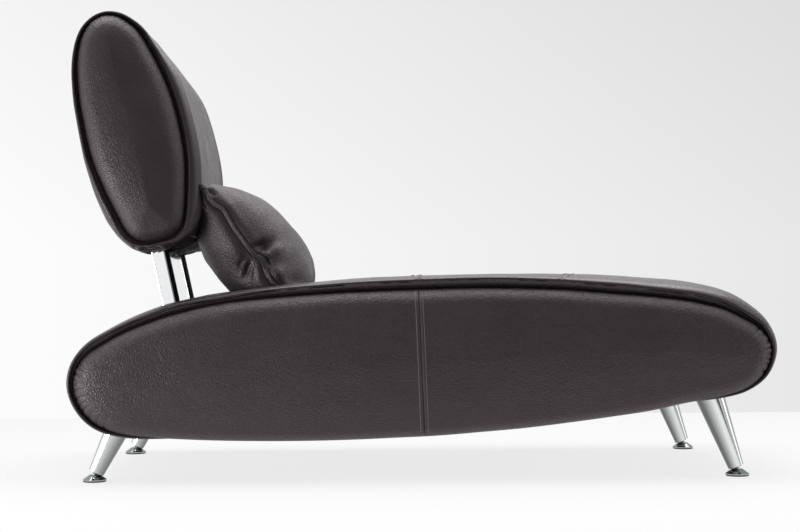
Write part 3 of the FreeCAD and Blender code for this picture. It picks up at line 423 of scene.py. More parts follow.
FOAM = plain("upholstery_foam", (0.78, 0.72, 0.52), 0.9, 700, 0.0012, 0.6)
WEBBING = woven("elastic_webbing", (0.05, 0.05, 0.05), 2.4)
CLOTH = woven("bottom_cloth", (0.022, 0.022, 0.023), 1.6)

SLOT_MATS = {"wood": WOOD, "foam": FOAM, "webbing": WEBBING, "cloth": CLOTH, "chrome": CHROME,
             "satin_metal": SATIN, "steel": STEEL, "rubber": RUBBER, "leather": LEATHER}
for sub in frame["record"]["subparts"]:
    ob = NODES[sub["node"]]
    ob.data.materials.clear()
    look = POST if sub["node"].startswith("back_post") else PAD if sub["node"].startswith("glide_pad") else LEG_FOOT if sub["node"] in ("leg_foot_right", "leg_foot_left") else LEG_HEAD if sub["node"] in ("leg_head_right", "leg_head_left") else SLOT_MATS[sub["material_slot"]]
    ob.data.materials.append(look)

# --- outlines -----------------------------------------------------------------------------------
# seat: groove line between the band and the side panels, in X and Z
SEAT = Line([
    (-745, 214), (-740, 244), (-727, 268), (-704, 292), (-669, 312), (-629, 331), (-588, 347), (-538, 363),
    (-432, 380), (-326, 397), (-198, 409), (-103, 414), (-7, 417), (142, 419), (270, 416), (377, 411),
    (463, 404), (569, 388), (610, 377), (651, 363), (684, 345), (712, 327), (731, 308), (742, 290), (745, 271),
    (740, 251), (730, 230), (711, 210), (686, 192), (655, 181), (625, 174), (564, 165), (479, 149), (394, 137),
    (309, 127), (224, 118), (139, 111), (54, 105), (-31, 101), (-115, 97), (-200, 95), (-284, 94), (-369, 94),
    (-453, 95), (-520, 97), (-579, 99), (-626, 103), (-658, 110), (-684, 120), (-710, 138), (-731, 165), (-742, 192)])
# backrest: the same line in its own frame, v forward and u up along the posts
BACK = Line([
    (-2.7, 270.2), (8, 268.5), (28.6, 260.7), (47.3, 244.4), (64.3, 220.5), (81.6, 172), (88.7, 148.1), (94.6, 124.5),
    (99.6, 101), (103.8, 77.7), (106.2, 54.9), (107.9, 32.1), (108.8, 9.6), (109.3, -12.8), (108.9, -35.1),
    (108, -57.4), (106, -79.1), (102.4, -100.7), (98.2, -122.1), (93.5, -143.4), (88.2, -164.6), (82.8, -185.7),
    (76, -206.5), (66.1, -225), (55.2, -234.5), (44.3, -239.2), (30.4, -241.8), (8.3, -241.8), (-13.6, -240.8),
    (-28.9, -238.5), (-43.3, -232.5), (-54.4, -223), (-62.9, -210), (-69, -194), (-73.5, -174.2), (-79.3, -150.3),
    (-85.5, -126.5), (-90.8, -103.1), (-94.8, -80), (-98.3, -56.9), (-101.0, -33.9), (-102, -11.4), (-102, 10.9),
    (-101.6, 33.1), (-100.9, 55.2), (-100.2, 77.5), (-98.8, 99.6), (-96.3, 121.3), (-93.2, 143), (-89.6, 164.6),
    (-84.4, 185.7), (-77.6, 206.6), (-69, 227.3), (-56.7, 246.3), (-47, 255.7), (-35.1, 263.6), (-25.5, 267.6),
    (-13.9, 269.8)], sigma=7.0)
BX, BZ, TILT = -628.0, 750.0, math.radians(12.0)


def in_seat(a, y, b):
    return np.c_[a, y, b]


def in_back(v, y, u):
    return np.c_[BX + v * math.cos(TILT) - u * math.sin(TILT), y, BZ + v * math.sin(TILT) + u * math.cos(TILT)]


SEAT_HALF, BACK_HALF = 362.0, 275.0
# offsets from the outlines above, keyed by length along them: panel edge, piping centre, crown of the band
SEAT_EDGE = SEAT.keyed([
    (0, -1), (50, -4), (100, -9.5), (150, -7), (200, -7), (250, -7), (300, -5), (330, -2), (360, 0), (400, 0), (450, -3),
    (500, -6), (600, -8), (700, -9), (800, -9.5), (900, -9), (1000, -9), (1100, -9.5), (1200, -12.5), (1250, -13),
    (1300, -11.5), (1350, -10), (1400, -8), (1450, -5), (1500, -4), (1550, -1), (1600, -0.5), (1650, 0), (1675, 1),
    (1700, 0.5), (1740, -1.5), (1780, -2), (1830, -3.5), (1900, -2), (2000, -2), (2100, -1), (2200, 0), (2300, 0),
    (2400, 1.2), (2500, 0), (2600, 0.4), (2700, 0), (2800, -1), (2900, -2.5), (2950, -3.5), (2975, -3.5), (3000, -3),
    (3050, -2), (3100, -2), (3150, -2), (3200, -1)])
SEAT_WELT = SEAT.keyed([
    (0, 7.5), (50, 7), (100, 6.5), (150, 7), (200, 7.5), (250, 8), (300, 11), (360, 12.5), (400, 12.5), (450, 12),
    (500, 10.5), (600, 9), (700, 9.5), (800, 9.5), (900, 10.5), (1000, 10.5), (1100, 9), (1200, 6), (1300, 4.5),
    (1350, 5.5), (1400, 8.5), (1450, 10), (1500, 8), (1550, 9), (1575, 4), (1600, 1.5), (1650, 4.5), (1675, 5.5),
    (1700, 2.5), (1740, 0.5), (1780, -1.5), (1830, -3.5), (1900, -4), (2000, -4), (2400, -3), (2900, -4), (2950, -3),
    (2985, -1), (3000, 0), (3050, 1.5), (3100, 5), (3150, 6), (3200, 7.5)])
SEAT_CROWN = SEAT.keyed([
    (0, 20), (50, 19), (100, 17), (150, 19), (200, 22), (250, 22), (300, 22.5), (360, 26), (400, 23.5), (500, 20.5),
    (600, 19), (700, 21), (800, 21.5), (900, 21.5), (1000, 22.5), (1100, 25), (1200, 28), (1300, 30.5), (1400, 38),
    (1450, 43), (1500, 46), (1550, 40), (1575, 33), (1600, 26), (1650, 19), (1700, 11), (1780, 4), (1900, 1), (2400, 1),
    (2900, 1), (3000, 4), (3050, 8), (3100, 13), (3150, 17), (3200, 20)], 14)
SEAT_ROLL = SEAT.keyed([(0, 40), (200, 33), (600, 28), (1300, 28), (1550, 30), (1640, 30), (1760, 22), (1900, 13), (2400, 12),
                        (2900, 13), (3050, 24), (3150, 36)], 20)
SEAT_OVER = SEAT.keyed([(0, 0.5), (1500, 0.3), (1700, 1), (1830, 4), (2400, 4), (2950, 4), (3060, 1)], 20)
BACK_EDGE = BACK.keyed([
    (0, -1), (25, -3), (50, -5.5), (100, -6), (200, -6.5), (300, -7), (400, -8.5), (500, -10), (560, -11.5), (600, -9.5),
    (640, -9), (680, -10), (700, -9), (740, -7), (800, -6.5), (850, -5), (900, -4), (1000, -3), (1100, -3), (1150, -4),
    (1200, -2)], 7)
BACK_WELT = BACK.keyed([
    (0, 3), (50, 2), (100, 5.5), (150, 6), (200, 4.5), (300, 4), (400, 1.5), (500, -1), (560, -1.5), (600, 0), (640, 2),
    (680, 4), (700, 5), (740, 5.5), (800, 6), (850, 6.5), (900, 6.5), (1000, 6), (1050, 6.5), (1100, 5.5), (1150, 3),
    (1180, 1.5), (1200, 2)], 7)
BACK_CROWN = BACK.keyed([
    (0, 8.5), (50, 8), (100, 8), (125, 11), (150, 14), (180, 19), (205, 23), (300, 23.5), (400, 24), (480, 24), (520, 22),
    (560, 17), (600, 15), (640, 15), (680, 17), (700, 22), (740, 32), (800, 27), (850, 22), (900, 18), (1000, 17),
    (1100, 13), (1150, 9.5), (1200, 8.5)], 9)
BACK_RIDGE = BACK.keyed([(0, 0), (60, 0.1), (110, 0.6), (150, 1), (490, 1), (530, 0.6), (560, 0.1), (600, 0), (1200, 0)], 9)
BACK_ROLL = BACK.keyed([(0, 28), (300, 30), (500, 28), (600, 19), (700, 30), (900, 38), (1100, 30)], 20)
BACK_OVER = BACK.keyed([(0, 0.3), (560, 0.5), (600, 2), (660, 0.5)], 10)


def crown(s):
    return np.sqrt(np.clip(1 - s ** 4, 0, 1))


def ridged(s):
    """Nearly flat middle, a narrow ridge near the side and a quick fall to the groove."""
    return (np.sqrt(np.clip(1 - s ** 24, 0, 1)) * (0.80 + 0.16 * s ** 2) + 0.15 * np.exp(-((s - 0.925) / 0.026) ** 2)) / 0.99


class Band:
    """Leather band round an oval body: crowned across its width, ends tucked into the grooves."""

    def __init__(self, line, half, top, welt, edge, place, ridge=None):
        self.line, self.half, self.top, self.welt, self.edge = line, half, top, welt, edge
        self.place, self.ridge = place, ridge

    def off(self, arc, s):
        """Height over the outline at arc and share s of the half width."""
        lip = self.line._at(self.welt, arc) + 2.0
        p = crown(s)
        if self.ridge is not None:
            w = self.line._at(self.ridge, arc)
            p = p * (1 - w) + ridged(s) * w
        return lip + (self.line._at(self.top, arc) - lip) * p

    def surface(self, arc, y, lift=0.0):
        arc, y = np.atleast_1d(np.asarray(arc, float)), np.atleast_1d(np.asarray(y, float))
        P, N = self.line.point(arc), self.line.normal(arc)
        Q = P + N * (self.off(arc, np.clip(np.abs(y) / self.half, 0, 1)) + lift)[:, None]
        return self.place(Q[:, 0], y, Q[:, 1])

    def normal(self, arc, y):
        e = 0.5
        da = self.surface(arc + e, y) - self.surface(arc - e, y)
        dy = self.surface(arc, y + e) - self.surface(arc, y - e)
        n = np.cross(dy, da)
        return n / np.linalg.norm(n, axis=1)[:, None]


# tucked end of the band: share of the way from lip to groove floor, extra depth, sideways step
LIP = [(0.10, 0, -0.6), (0.35, 0, -3.0), (0.70, 0, -8.0), (0.95, 0, -14.0), (1.0, 1, -18.5), (1.0, 4, -20.0), (1.0, 24, -20.5)]


def band_mesh(band, arcs, share, extra=None):
    """Vertices, faces, painted shade (darker the deeper the band tucks into the groove) and the (row, column) sizes of
    the band: rows along the outline, columns across.
    """
    line, half = band.line, band.half
    cols = [(q, None) for q in share] + [(1.0, l) for l in LIP]
    cols = [(c, -1) for c in cols[::-1]] + [(c, 1) for c in cols[1:]]
    n, m = len(arcs), len(cols)
    P, N = line.point(arcs), line.normal(arcs)
    lip = line._at(band.welt, arcs) + 2.0
    floor = np.minimum(line._at(band.edge, arcs) - 2.0, lip - 8.0)
    V = np.zeros((n, m, 3))
    tone = np.zeros((n, m))
    for j, ((q, l), side) in enumerate(cols):
        if l is None:
            h = band.off(arcs, np.full(n, q))
            y = np.full(n, side * half * q)
            if extra is not None:
                h = h + extra(arcs, y)
        else:
            h = lip + (floor - lip) * l[0] - l[1]
            y = np.full(n, side * (half + l[2]))
            # painted shade: the tucked end gets darker the deeper it goes into the groove
            tone[:, j] = min(1.0, 0.3 + l[0])
        Q = P + N * h[:, None]
        V[:, j] = band.place(Q[:, 0], y, Q[:, 1])
    return V.reshape(-1, 3), grid_faces(n, m), tone.ravel(), n, m


def welt(name, band, side, radius, arcs, mat, body, slot):
    """Round piping that lies in the groove beside the band's edge."""
    line = band.line
    P, N = line.point(arcs), line.normal(arcs)
    c = line._at(band.welt, arcs)
    k = 14
    V = np.zeros((len(arcs), k, 3))
    wob = 0.35 * np.sin(arcs / 23.0) + 0.25 * np.sin(arcs / 7.7 + 1.0)
    for j in range(k):
        a = 2 * math.pi * j / k
        h = c + radius * math.cos(a) + 0.3 * wob
        y = side * (band.half - 2.6 + radius * math.sin(a) + 0.4 * wob)
        Q = P + N * h[:, None]
        V[:, j] = band.place(Q[:, 0], y, Q[:, 1])
    F = []
    n = len(arcs)
    for i in range(n):
        for j in range(k):
            q = (i * k + j, i * k + (j + 1) % k, ((i + 1) % n) * k + (j + 1) % k, ((i + 1) % n) * k + j)
            F.append(q if side > 0 else q[::-1])
    return add_mesh(name, V.reshape(-1, 3), F, body, mat)


class Panel:
    """Bulged side panel inside the groove: rolled edge, gently domed middle."""

    def __init__(self, line, half, edge, roll, over, tall, crest, span, place, sunk):
        self.line, self.half, self.edge, self.roll, self.over = line, half, edge, roll, over
        self.tall, self.crest, self.span, self.place = tall, crest, span, place
        self.rim = (line.Q + line.Nrm * edge[:, None])[::3]
        self.base, self.sunk = half - sunk, sunk

    def nearest(self, x, z):
        d, r = np.empty(len(x)), np.empty(len(x))
        E, R = self.rim, self.roll[::3]
        for i in range(0, len(x), 2000):
            q = (x[i:i + 2000, None] - E[None, :, 0]) ** 2 + (z[i:i + 2000, None] - E[None, :, 1]) ** 2
            k = q.argmin(1)
            d[i:i + 2000] = np.sqrt(q[np.arange(len(k)), k])
            r[i:i + 2000] = R[k]
        return d, r

    def depth(self, d, r):
        q = 1 - np.clip(d / r, 0, 1)
        dome = 1 - (1 - np.clip(d / self.span, 0, 1)) ** 2
        return self.base + self.tall * np.sqrt(np.clip(1 - q * q, 0, 1)) + self.crest * dome

    def at(self, x, z):
        return self.depth(*self.nearest(x, z))


def puckers(line, items, arcs):
    """Small gathers at the panel's edge; items are (arc, size, half width)."""
    out = np.zeros(len(arcs))
    for a, s, w in items:
        e = np.mod(arcs - a + line.length / 2, line.length) - line.length / 2
        out += s * np.exp(-(e / w) ** 2)
    return out


def panel_mesh(panel, side, arcs, pole, rings_in, near=34.0, rolls=15, dent=None, gathers=()):
    line = panel.line
    P, N = line.point(arcs), line.normal(arcs)
    edge, over, roll = line._at(panel.edge, arcs), line._at(panel.over, arcs), line._at(panel.roll, arcs)
    pk = puckers(line, gathers, arcs)
    wide = puckers(line, [(a, s, w * 2.4) for a, s, w in gathers], arcs)
    rows = []
    # painted shade: the edge rows and the first millimetres of the roll are darkened towards the groove, the gathers a
    # little more
    for h, y, c in ((edge - 3.5, panel.base - 8.3, 1.0), (edge - 1.2, panel.base - 5.0, 1.0), (edge - 0.3, panel.base - 1.5, 0.9)):
        Q = P + N * (h - 2.0 * pk)[:, None]
        rows.append((Q, np.full(len(arcs), y), np.zeros(len(arcs)), np.full(len(arcs), c)))
    for k in range(rolls + 1):
        d = near * (k / rolls) ** 2.1
        y = panel.depth(np.full(len(arcs), d), roll)
        f = np.clip((y - panel.base) / panel.tall, 0, 1)
        h = edge - d + over * np.sin(math.pi * f ** 0.8) - 2.0 * pk * math.exp(-d / 7.0)
        y = y - (2.4 * pk + 1.4 * wide) * np.exp(-(d / 20.0) ** 2) * f
        Q = P + N * h[:, None]
        rows.append((Q, y, np.full(len(arcs), d), np.clip(0.8 - d / 2.5, 0, 1) + 0.5 * pk * math.exp(-d / 12.0)))
    last = rows[-1][0]
    c = np.array(pole, float)
    for f in [(1 - r / rings_in) ** 1.15 for r in range(1, rings_in)] + [0.0065, 0.0032, 0.0015, 0.0006]:
        Q = c + (last - c) * f
        d, rr = panel.nearest(Q[:, 0], Q[:, 1])
        rows.append((Q, panel.depth(d, rr), d, np.zeros(len(arcs))))
    rows.append((c[None, :], panel.depth(*panel.nearest(c[:1], c[1:])), np.array([150.0]), np.zeros(1)))
    V, tone = [], []
    for Q, y, d, cr in rows:
        if dent is not None:
            dy, dc = dent(Q[:, 0], Q[:, 1], d)
            y, cr = y + dy, cr + dc
        V.append(panel.place(Q[:, 0], side * y, Q[:, 1]))
        tone.append(np.clip(cr, 0, 1))
    n = len(arcs)
    F = []
    for k in range(len(rows) - 2):
        for i in range(n):
            q = (k * n + i, k * n + (i + 1) % n, (k + 1) * n + (i + 1) % n, (k + 1) * n + i)
            F.append(q if side < 0 else q[::-1])
    V = np.vstack(V)
    b = (len(rows) - 2) * n
    for i in range(n):
        q = (b + i, b + (i + 1) % n, len(V) - 1)
        F.append(q if side < 0 else q[::-1])
    return V, F, np.hstack(tone)


def stitches(name, points, tangents, normals, mat, body, length=2.3, radius=0.80, sink=-2.2):
    """Short thread capsules lying on a surface, one per point."""
    prof = [(-0.5, 0.0), (-0.46, 0.55), (-0.3, 0.95), (0.0, 1.1), (0.3, 0.95), (0.46, 0.55), (0.5, 0.0)]
    k = 6
    V, F = [], []
    for p, t, n in zip(points, tangents, normals):
        t = t / np.linalg.norm(t)
        n = n - t * (n @ t)
        n = n / np.linalg.norm(n)
        b = np.cross(t, n)
        base = len(V)
        for i, (q, r) in enumerate(prof):
            arch = (1 - (2 * q) ** 2) * radius * 0.5 - sink
            c = p + t * (q * length) + n * arch
            if r == 0:
                V.append(c)
                continue
            for j in range(k):
                a = 2 * math.pi * j / k
                V.append(c + (n * math.cos(a) + b * math.sin(a)) * radius * r)
        tip0, ring = base, lambda i: base + 1 + (i - 1) * k
        for j in range(k):
            F.append((tip0, ring(1) + (j + 1) % k, ring(1) + j))
        for i in range(1, len(prof) - 2):
            for j in range(k):
                F.append((ring(i) + j, ring(i) + (j + 1) % k, ring(i + 1) + (j + 1) % k, ring(i + 1) + j))
        tip1 = ring(len(prof) - 2) + k
        for j in range(k):
            F.append((tip1, ring(len(prof) - 2) + j, ring(len(prof) - 2) + (j + 1) % k))
        assert tip1 == len(V) - 1
    return add_mesh(name, np.array(V), F, body, mat)


# --- seat ----------------------------------------------------------------------------------------
seat_band = Band(SEAT, SEAT_HALF, SEAT_CROWN, SEAT_WELT, SEAT_EDGE, in_seat)
WIN_X = (-600.0, 560.0)
WIN_Y = 330.0
on_bottom = SEAT.Nrm[:, 1] < -0.3
top_mask = SEAT.Nrm[:, 1] > 0.3
top_order = np.argsort(SEAT.Q[top_mask][:, 0])
TOP_X, TOP_ARC = SEAT.Q[top_mask][top_order, 0], SEAT.arc[top_mask][top_order]
X = SEAT.Q[:, 0]
spacing = np.full(SEAT.N, 6.0)
spacing[np.abs(X) > 600] = 3.0
spacing[(np.abs(X + 8) < 16) & top_mask] = 1.3
spacing[(X > 286) & (X < 364) & top_mask] = 1.6
for w in WIN_X:
    spacing[(np.abs(X - w) < 8) & on_bottom] = 1.5
seat_arcs = SEAT.places(spacing)
share = 1 - (1 - np.linspace(0, 1, 30)) ** 2.0


def seam_a(y):
    return np.full_like(y, -8.0)


def seam_b(y):
    return 294.0 + 54.0 * (1 - (y / 362.0) ** 2)


def seam_dent(dx):
    """Sewn seam: narrow valley with a soft pillow either side."""
    return -2.4 * np.exp(-(dx / 1.6) ** 2) + 0.9 * np.exp(-((np.abs(dx) - 5.0) / 3.5) ** 2)


def on_window(P, N, y):
    return (N[:, 1] < -0.3) & (P[:, 0] > WIN_X[0]) & (P[:, 0] < WIN_X[1]) & (np.abs(y) < WIN_Y)


def seat_extra(arcs, y):
    P, N = SEAT.point(arcs), SEAT.normal(arcs)
    dh = np.zeros(len(arcs))
    for f in (seam_a, seam_b):
        dx = P[:, 0] - f(y)
        dh = dh + np.where((N[:, 1] > 0.3) & (np.abs(dx) < 25), seam_dent(dx), 0.0)
    Q = np.c_[P[:, 0], y, P[:, 1]]
    edge = 1 - (np.abs(y) / SEAT_HALF) ** 6
    dh = dh + edge * (0.9 * waves(Q, 330, 3) + 0.35 * waves(Q, 90, 4))
    window = on_window(P, N, y)
    flat = -20.0 - seat_band.off(arcs, np.clip(np.abs(y) / SEAT_HALF, 0, 1))
    return np.where(window, flat, dh)


def drop_faces(V, F, tone, inside):
    """Remove the faces whose corners are all inside the opening, and the points left over."""
    F = [f for f in F if not all(inside[list(f)])]
    used = np.zeros(len(V), bool)
    for f in F:
        used[list(f)] = True
    remap = np.cumsum(used) - 1
    return V[used], [[int(remap[i]) for i in f] for f in F], tone[used]


V, F, tone, n, m = band_mesh(seat_band, seat_arcs, share, seat_extra)
P, N = SEAT.point(seat_arcs), SEAT.normal(seat_arcs)
inside = np.zeros((n, m), bool)
for j in range(m):
    inside[:, j] = on_window(P, N, V.reshape(n, m, 3)[:, j, 1])
V, F, tone = drop_faces(V, F, tone, inside.ravel())
seat_cover = add_mesh("seat_band", V, F, "frame", LEATHER_TOP, tone)
thicken(seat_cover, 2.0)
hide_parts("seat_band_cover", "seat_foam")

seat_panel = Panel(SEAT, SEAT_HALF, SEAT_EDGE, SEAT_ROLL, SEAT_OVER, 26.0, 17.0, 160.0, in_seat, 10.5)
SIDE_TOP, SIDE_LOW = (-10.0, 400.0), (0.7, 93.0)


def side_seam_x(z):
    return SIDE_LOW[0] + (z - SIDE_LOW[1]) / (SIDE_TOP[1] - SIDE_LOW[1]) * (SIDE_TOP[0] - SIDE_LOW[0])


def seat_dent(x, z, d):
    dx = x - side_seam_x(z)
    line = smooth(d, 0.5, 5.0)
    out = np.where(np.abs(dx) < 25, seam_dent(dx) * line, 0.0)
    Q = np.c_[x, z]
    out = out + smooth(d, 5, 60) * (0.8 * waves(Q, 260, 11) + 0.35 * waves(Q, 95, 12))
    # the second value is painted shade: a dark line along the seam valley
    return out, np.exp(-(dx / 1.7) ** 2) * line


rng = np.random.default_rng(7)
SEAT_GATHERS = []
for a0, a1, step, size in ((3085, 3265, 15, 0.65), (1548, 1668, 13, 1.0)):
    a = a0
    while a < a1:
        SEAT_GATHERS.append((a, size * rng.uniform(0.9, 2.1), rng.uniform(2.6, 4.4)))
        a += step * rng.uniform(0.6, 1.5)
spacing = np.full(SEAT.N, 6.0)
spacing[np.abs(X) > 640] = 1.8
spacing[(np.abs(X - side_seam_x(400.0)) < 14) & top_mask] = 1.2
spacing[(np.abs(X - side_seam_x(95.0)) < 14) & on_bottom] = 1.2
panel_arcs = SEAT.places(spacing)
pole = (side_seam_x(250.0), 250.0)
for tag, side in (("right", -1), ("left", 1)):
    V, F, tone = panel_mesh(seat_panel, side, panel_arcs, pole, 46, dent=seat_dent, gathers=SEAT_GATHERS)
    ob = add_mesh("seat_side_panel_" + tag, V, F, "frame", LEATHER, tone)
    thicken(ob, 2.0)
    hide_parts("seat_side_cover_" + tag, "seat_side_pad_" + tag)
    ob = welt("seat_welt_" + tag, seat_band, side, 4.0, SEAT.places(np.full(SEAT.N, 3.5)), WELT_PAINTED_SHADE, "frame", "leather")
    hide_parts("seat_piping_" + tag)
    # two rows of stitches beside the upright seam
    pts, tans, nrm = [], [], []
    for row in (-8.0, 8.0):
        z = np.arange(100.0, 408.0, 5.0)
        x = side_seam_x(z) + row
        d, r = seat_panel.nearest(x, z)
        yy = seat_panel.depth(d, r) + seat_dent(x, z, d)[0]
        inner = (d > 3) & (z < 404)
        gx = (seat_panel.at(x + 1, z) - seat_panel.at(x - 1, z)) / 2
        gz = (seat_panel.at(x, z + 1) - seat_panel.at(x, z - 1)) / 2
        for i in np.nonzero(inner)[0]:
            pts.append(np.array([x[i], side * yy[i], z[i]]))
            nrm.append(np.array([-gx[i], side * 1.0, -gz[i]]))
            tans.append(np.array([side_seam_x(z[i] + 1) - side_seam_x(z[i]), side * gz[i], 1.0]))
    stitches("seat_side_stitches_" + tag, pts, tans, nrm, THREAD, "frame")

# stitches beside the two cross seams of the band
pts, tans, nrm = [], [], []
for f in (seam_a, seam_b):
    for row in (-8.0, 8.0):
        y = np.arange(-352.0, 352.1, 5.0)
        arc = np.interp(f(y) + row, TOP_X, TOP_ARC)
        S = seat_band.surface(arc, y, 0.7)
        S2 = seat_band.surface(np.interp(f(y + 1) + row, TOP_X, TOP_ARC), y + 1, 0.7)
        nn = seat_band.normal(arc, y)
        for i in range(len(y)):
            pts.append(S[i])
            tans.append(S2[i] - S[i])
            nrm.append(nn[i] if nn[i][2] > 0 else -nn[i])
stitches("seat_top_stitches", pts, tans, nrm, THREAD, "frame")

# cloth under the seat, stapled in the opening between the band's hems
xs = np.linspace(WIN_X[0] - 6, WIN_X[1] + 6, 96)
ys = np.linspace(-WIN_Y - 4, WIN_Y + 4, 56)
order = np.argsort(SEAT.Q[on_bottom][:, 0])
zb = np.interp(xs, SEAT.Q[on_bottom][order, 0], SEAT.Q[on_bottom][order, 1])
XX, YY = np.meshgrid(xs, ys, indexing="ij")
fx = np.clip((XX - xs[0]) / 90, 0, 1) * np.clip((xs[-1] - XX) / 90, 0, 1)
fy = np.clip((YY - ys[0]) / 90, 0, 1) * np.clip((ys[-1] - YY) / 90, 0, 1)
ZZ = zb[:, None] + 17.5 - 3.0 * np.sqrt(fx * fy)
V = np.c_[XX.ravel(), YY.ravel(), ZZ.ravel()]
V[:, 2] += 0.5 * waves(V[:, :2], 70, 21)
cloth = add_mesh("seat_bottom_cloth_sheet", V, grid_faces(len(xs), len(ys), closed=False, flip=True), "frame", CLOTH)
thicken(cloth, 1.0, 1.0)
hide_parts("seat_bottom_cloth")

# --- backrest --------------------------------------------------------------------------------------
back_band = Band(BACK, BACK_HALF, BACK_CROWN, BACK_WELT, BACK_EDGE, in_back, BACK_RIDGE)
HOLE_V = (-46.0, 62.0)
HOLE_Y = 258.0
bshare = 1 - (1 - np.linspace(0, 1, 44)) ** 1.5
back_arcs = BACK.places(np.full(BACK.N, 3.2))


def under_back(P, N, y):
    return (N[:, 1] < -0.25) & (P[:, 0] > HOLE_V[0]) & (P[:, 0] < HOLE_V[1]) & (np.abs(y) < HOLE_Y)


def back_extra(arcs, y):
    P, N = BACK.point(arcs), BACK.normal(arcs)
    Q = np.c_[P[:, 0], y, P[:, 1]]
    edge = 1 - (np.abs(y) / BACK_HALF) ** 6
    dh = edge * (0.7 * waves(Q, 210, 31) + 0.4 * waves(Q, 70, 32))
    # pleats that fan out from the lower end of the side seam over the gathered underside
    ex, ey = 612.0 - arcs, BACK_HALF - np.abs(y) + 4.0
    r, ang = np.hypot(ex, ey), np.arctan2(ey, np.maximum(ex, 0.0))
    fan = np.abs(np.sin(ang * 8.5 + 0.5 * np.sin(r / 21.0))) ** 0.7 - 0.55
    dh = dh + np.where(ex > 0, 8.0 * fan * smooth(r, 10, 34) * (1 - smooth(r, 95, 190)) * smooth(ang, 0.06, 0.25), 0.0)
    low = smooth(-P[:, 1], 190, 236) * smooth(P[:, 0], -60, 20)
    mid = np.sin(y / 6.0 + 1.3 * np.sin(y / 29.0) + P[:, 1] / 45.0)
    dh = dh + low * 1.5 * mid * smooth(BACK_HALF - np.abs(y), 60, 110)
    hem = smooth(-P[:, 1], 214, 236) * smooth(np.abs(y), 150, 215)
    dh = dh + hem * (1.6 * waves(Q, 17, 61, 5) + 2.2 * (np.abs(waves(Q, 30, 62, 4)) - 0.6))
    return np.where(under_back(P, N, y), dh - 4.0, dh)


V, F, tone, n, m = band_mesh(back_band, back_arcs, bshare, back_extra)
P, N = BACK.point(back_arcs), BACK.normal(back_arcs)
inside = np.zeros((n, m), bool)
for j in range(m):
    inside[:, j] = under_back(P, N, V.reshape(n, m, 3)[:, j, 1])
V, F, tone = drop_faces(V, F, tone, inside.ravel())
back_cover = add_mesh("back_band", V, F, "frame", LEATHER_BACK, tone)
thicken(back_cover, 2.0)
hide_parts("back_band_cover", "back_foam")

back_panel = Panel(BACK, BACK_HALF, BACK_EDGE, BACK_ROLL, BACK_OVER, 22.0, 20.0, 105.0, in_back, 10.0)


def back_dent(v, u, d):
    Q = np.c_[v, u]
    return smooth(d, 5, 50) * (0.6 * waves(Q, 170, 41) + 0.3 * waves(Q, 70, 42)), 0.0 * v


BACK_GATHERS = []
a = 1158.0
while a < 1219 + 62:
    BACK_GATHERS.append((a, rng.uniform(0.25, 0.6), rng.uniform(2.0, 3.0)))
    a += rng.uniform(7, 12)
for a in (545, 563, 584, 603, 622, 648, 667):
    BACK_GATHERS.append((a, rng.uniform(0.12, 0.25), rng.uniform(2.4, 4.0)))
bp_arcs = BACK.places(np.full(BACK.N, 1.7))
for tag, side in (("right", -1), ("left", 1)):
    V, F, tone = panel_mesh(back_panel, side, bp_arcs, (2.0, 10.0), 40, near=30.0, dent=back_dent, gathers=BACK_GATHERS)
    ob = add_mesh("back_side_panel_" + tag, V, F, "frame", LEATHER_BACK_SIDE, tone)
    thicken(ob, 2.0)
    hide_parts("back_side_cover_" + tag, "back_side_pad_" + tag)
    ob = welt("back_welt_" + tag, back_band, side, 3.8, BACK.places(np.full(BACK.N, 2.6)), WELT_PAINTED_SHADE, "frame", "leather")
    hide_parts("back_piping_" + tag)

# gathered closure under the backrest, drawn in round the two posts
vs = np.linspace(HOLE_V[0] - 7, HOLE_V[1] + 6, 60)
ys = np.linspace(-HOLE_Y - 5, HOLE_Y + 5, 300)
low = BACK.Nrm[:, 1] < -0.2
order = np.argsort(BACK.Q[low][:, 0])
arcs = np.interp(vs, BACK.Q[low][order, 0], BACK.arc[low][order])
POSTS = ((-11.0, -156.0), (-11.0, 156.0))
V, CR = [], []
for v, a in zip(vs, arcs):
    S = np.full(len(ys), a)
    off = back_band.off(S, np.clip(np.abs(ys) / BACK_HALF, 0, 1))
    P, N = BACK.point(S), BACK.normal(S)
    rad = np.full(len(ys), 1e9)
    ang = np.zeros(len(ys))
    for pv, py in POSTS:
        ev, ey = v - pv, ys - py
        r = np.hypot(np.maximum(np.abs(ev) - 14, 0), np.maximum(np.abs(ey) - 32, 0))
        ang = np.where(r < rad, np.arctan2(ev, ey * 0.6), ang)
        rad = np.minimum(r, rad)
    near = np.exp(-(rad / 30.0) ** 2)
    fold = near * np.abs(np.sin(ang * 7.0 + 0.8 * np.sin(ys / 13.0))) ** 0.8
    fold2 = (1 - near) * np.abs(np.sin(ys / 7.5 + 0.9 * np.sin(ys / 23.0) + v / 38.0)) ** 0.8
    rim = np.minimum(min(v - vs[0], vs[-1] - v) / 9.0, np.minimum(ys - ys[0], ys[-1] - ys) / 9.0)
    rim = np.clip(rim, 0, 1)
    h = off - 3.0 - 4.0 * (1 - rim) + rim * (8.0 * fold + 7.0 * fold2 - 3.0) + 2.0 * near
    Q = P + N * h[:, None]
    V.append(in_back(Q[:, 0], ys, Q[:, 1]))
    # painted shade: darker in the valleys between the folds, fading out at the sheet's edges
    CR.append(rim * (1 - np.maximum(fold, fold2)) * 0.8)
closure = add_mesh("back_closure_gathered", np.vstack(V), grid_faces(len(vs), len(ys), closed=False), "frame", LEATHER_FOLD,
                   np.hstack(CR))
thicken(closure, 1.6)
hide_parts("back_closure")

# --- loose cushion ------------------------------------------------------------------------------------
CX, CZ, LEAN = -381.0, 502.0, math.radians(35.5)
CU, CT, CW = 167.0, 96.0, 262.0


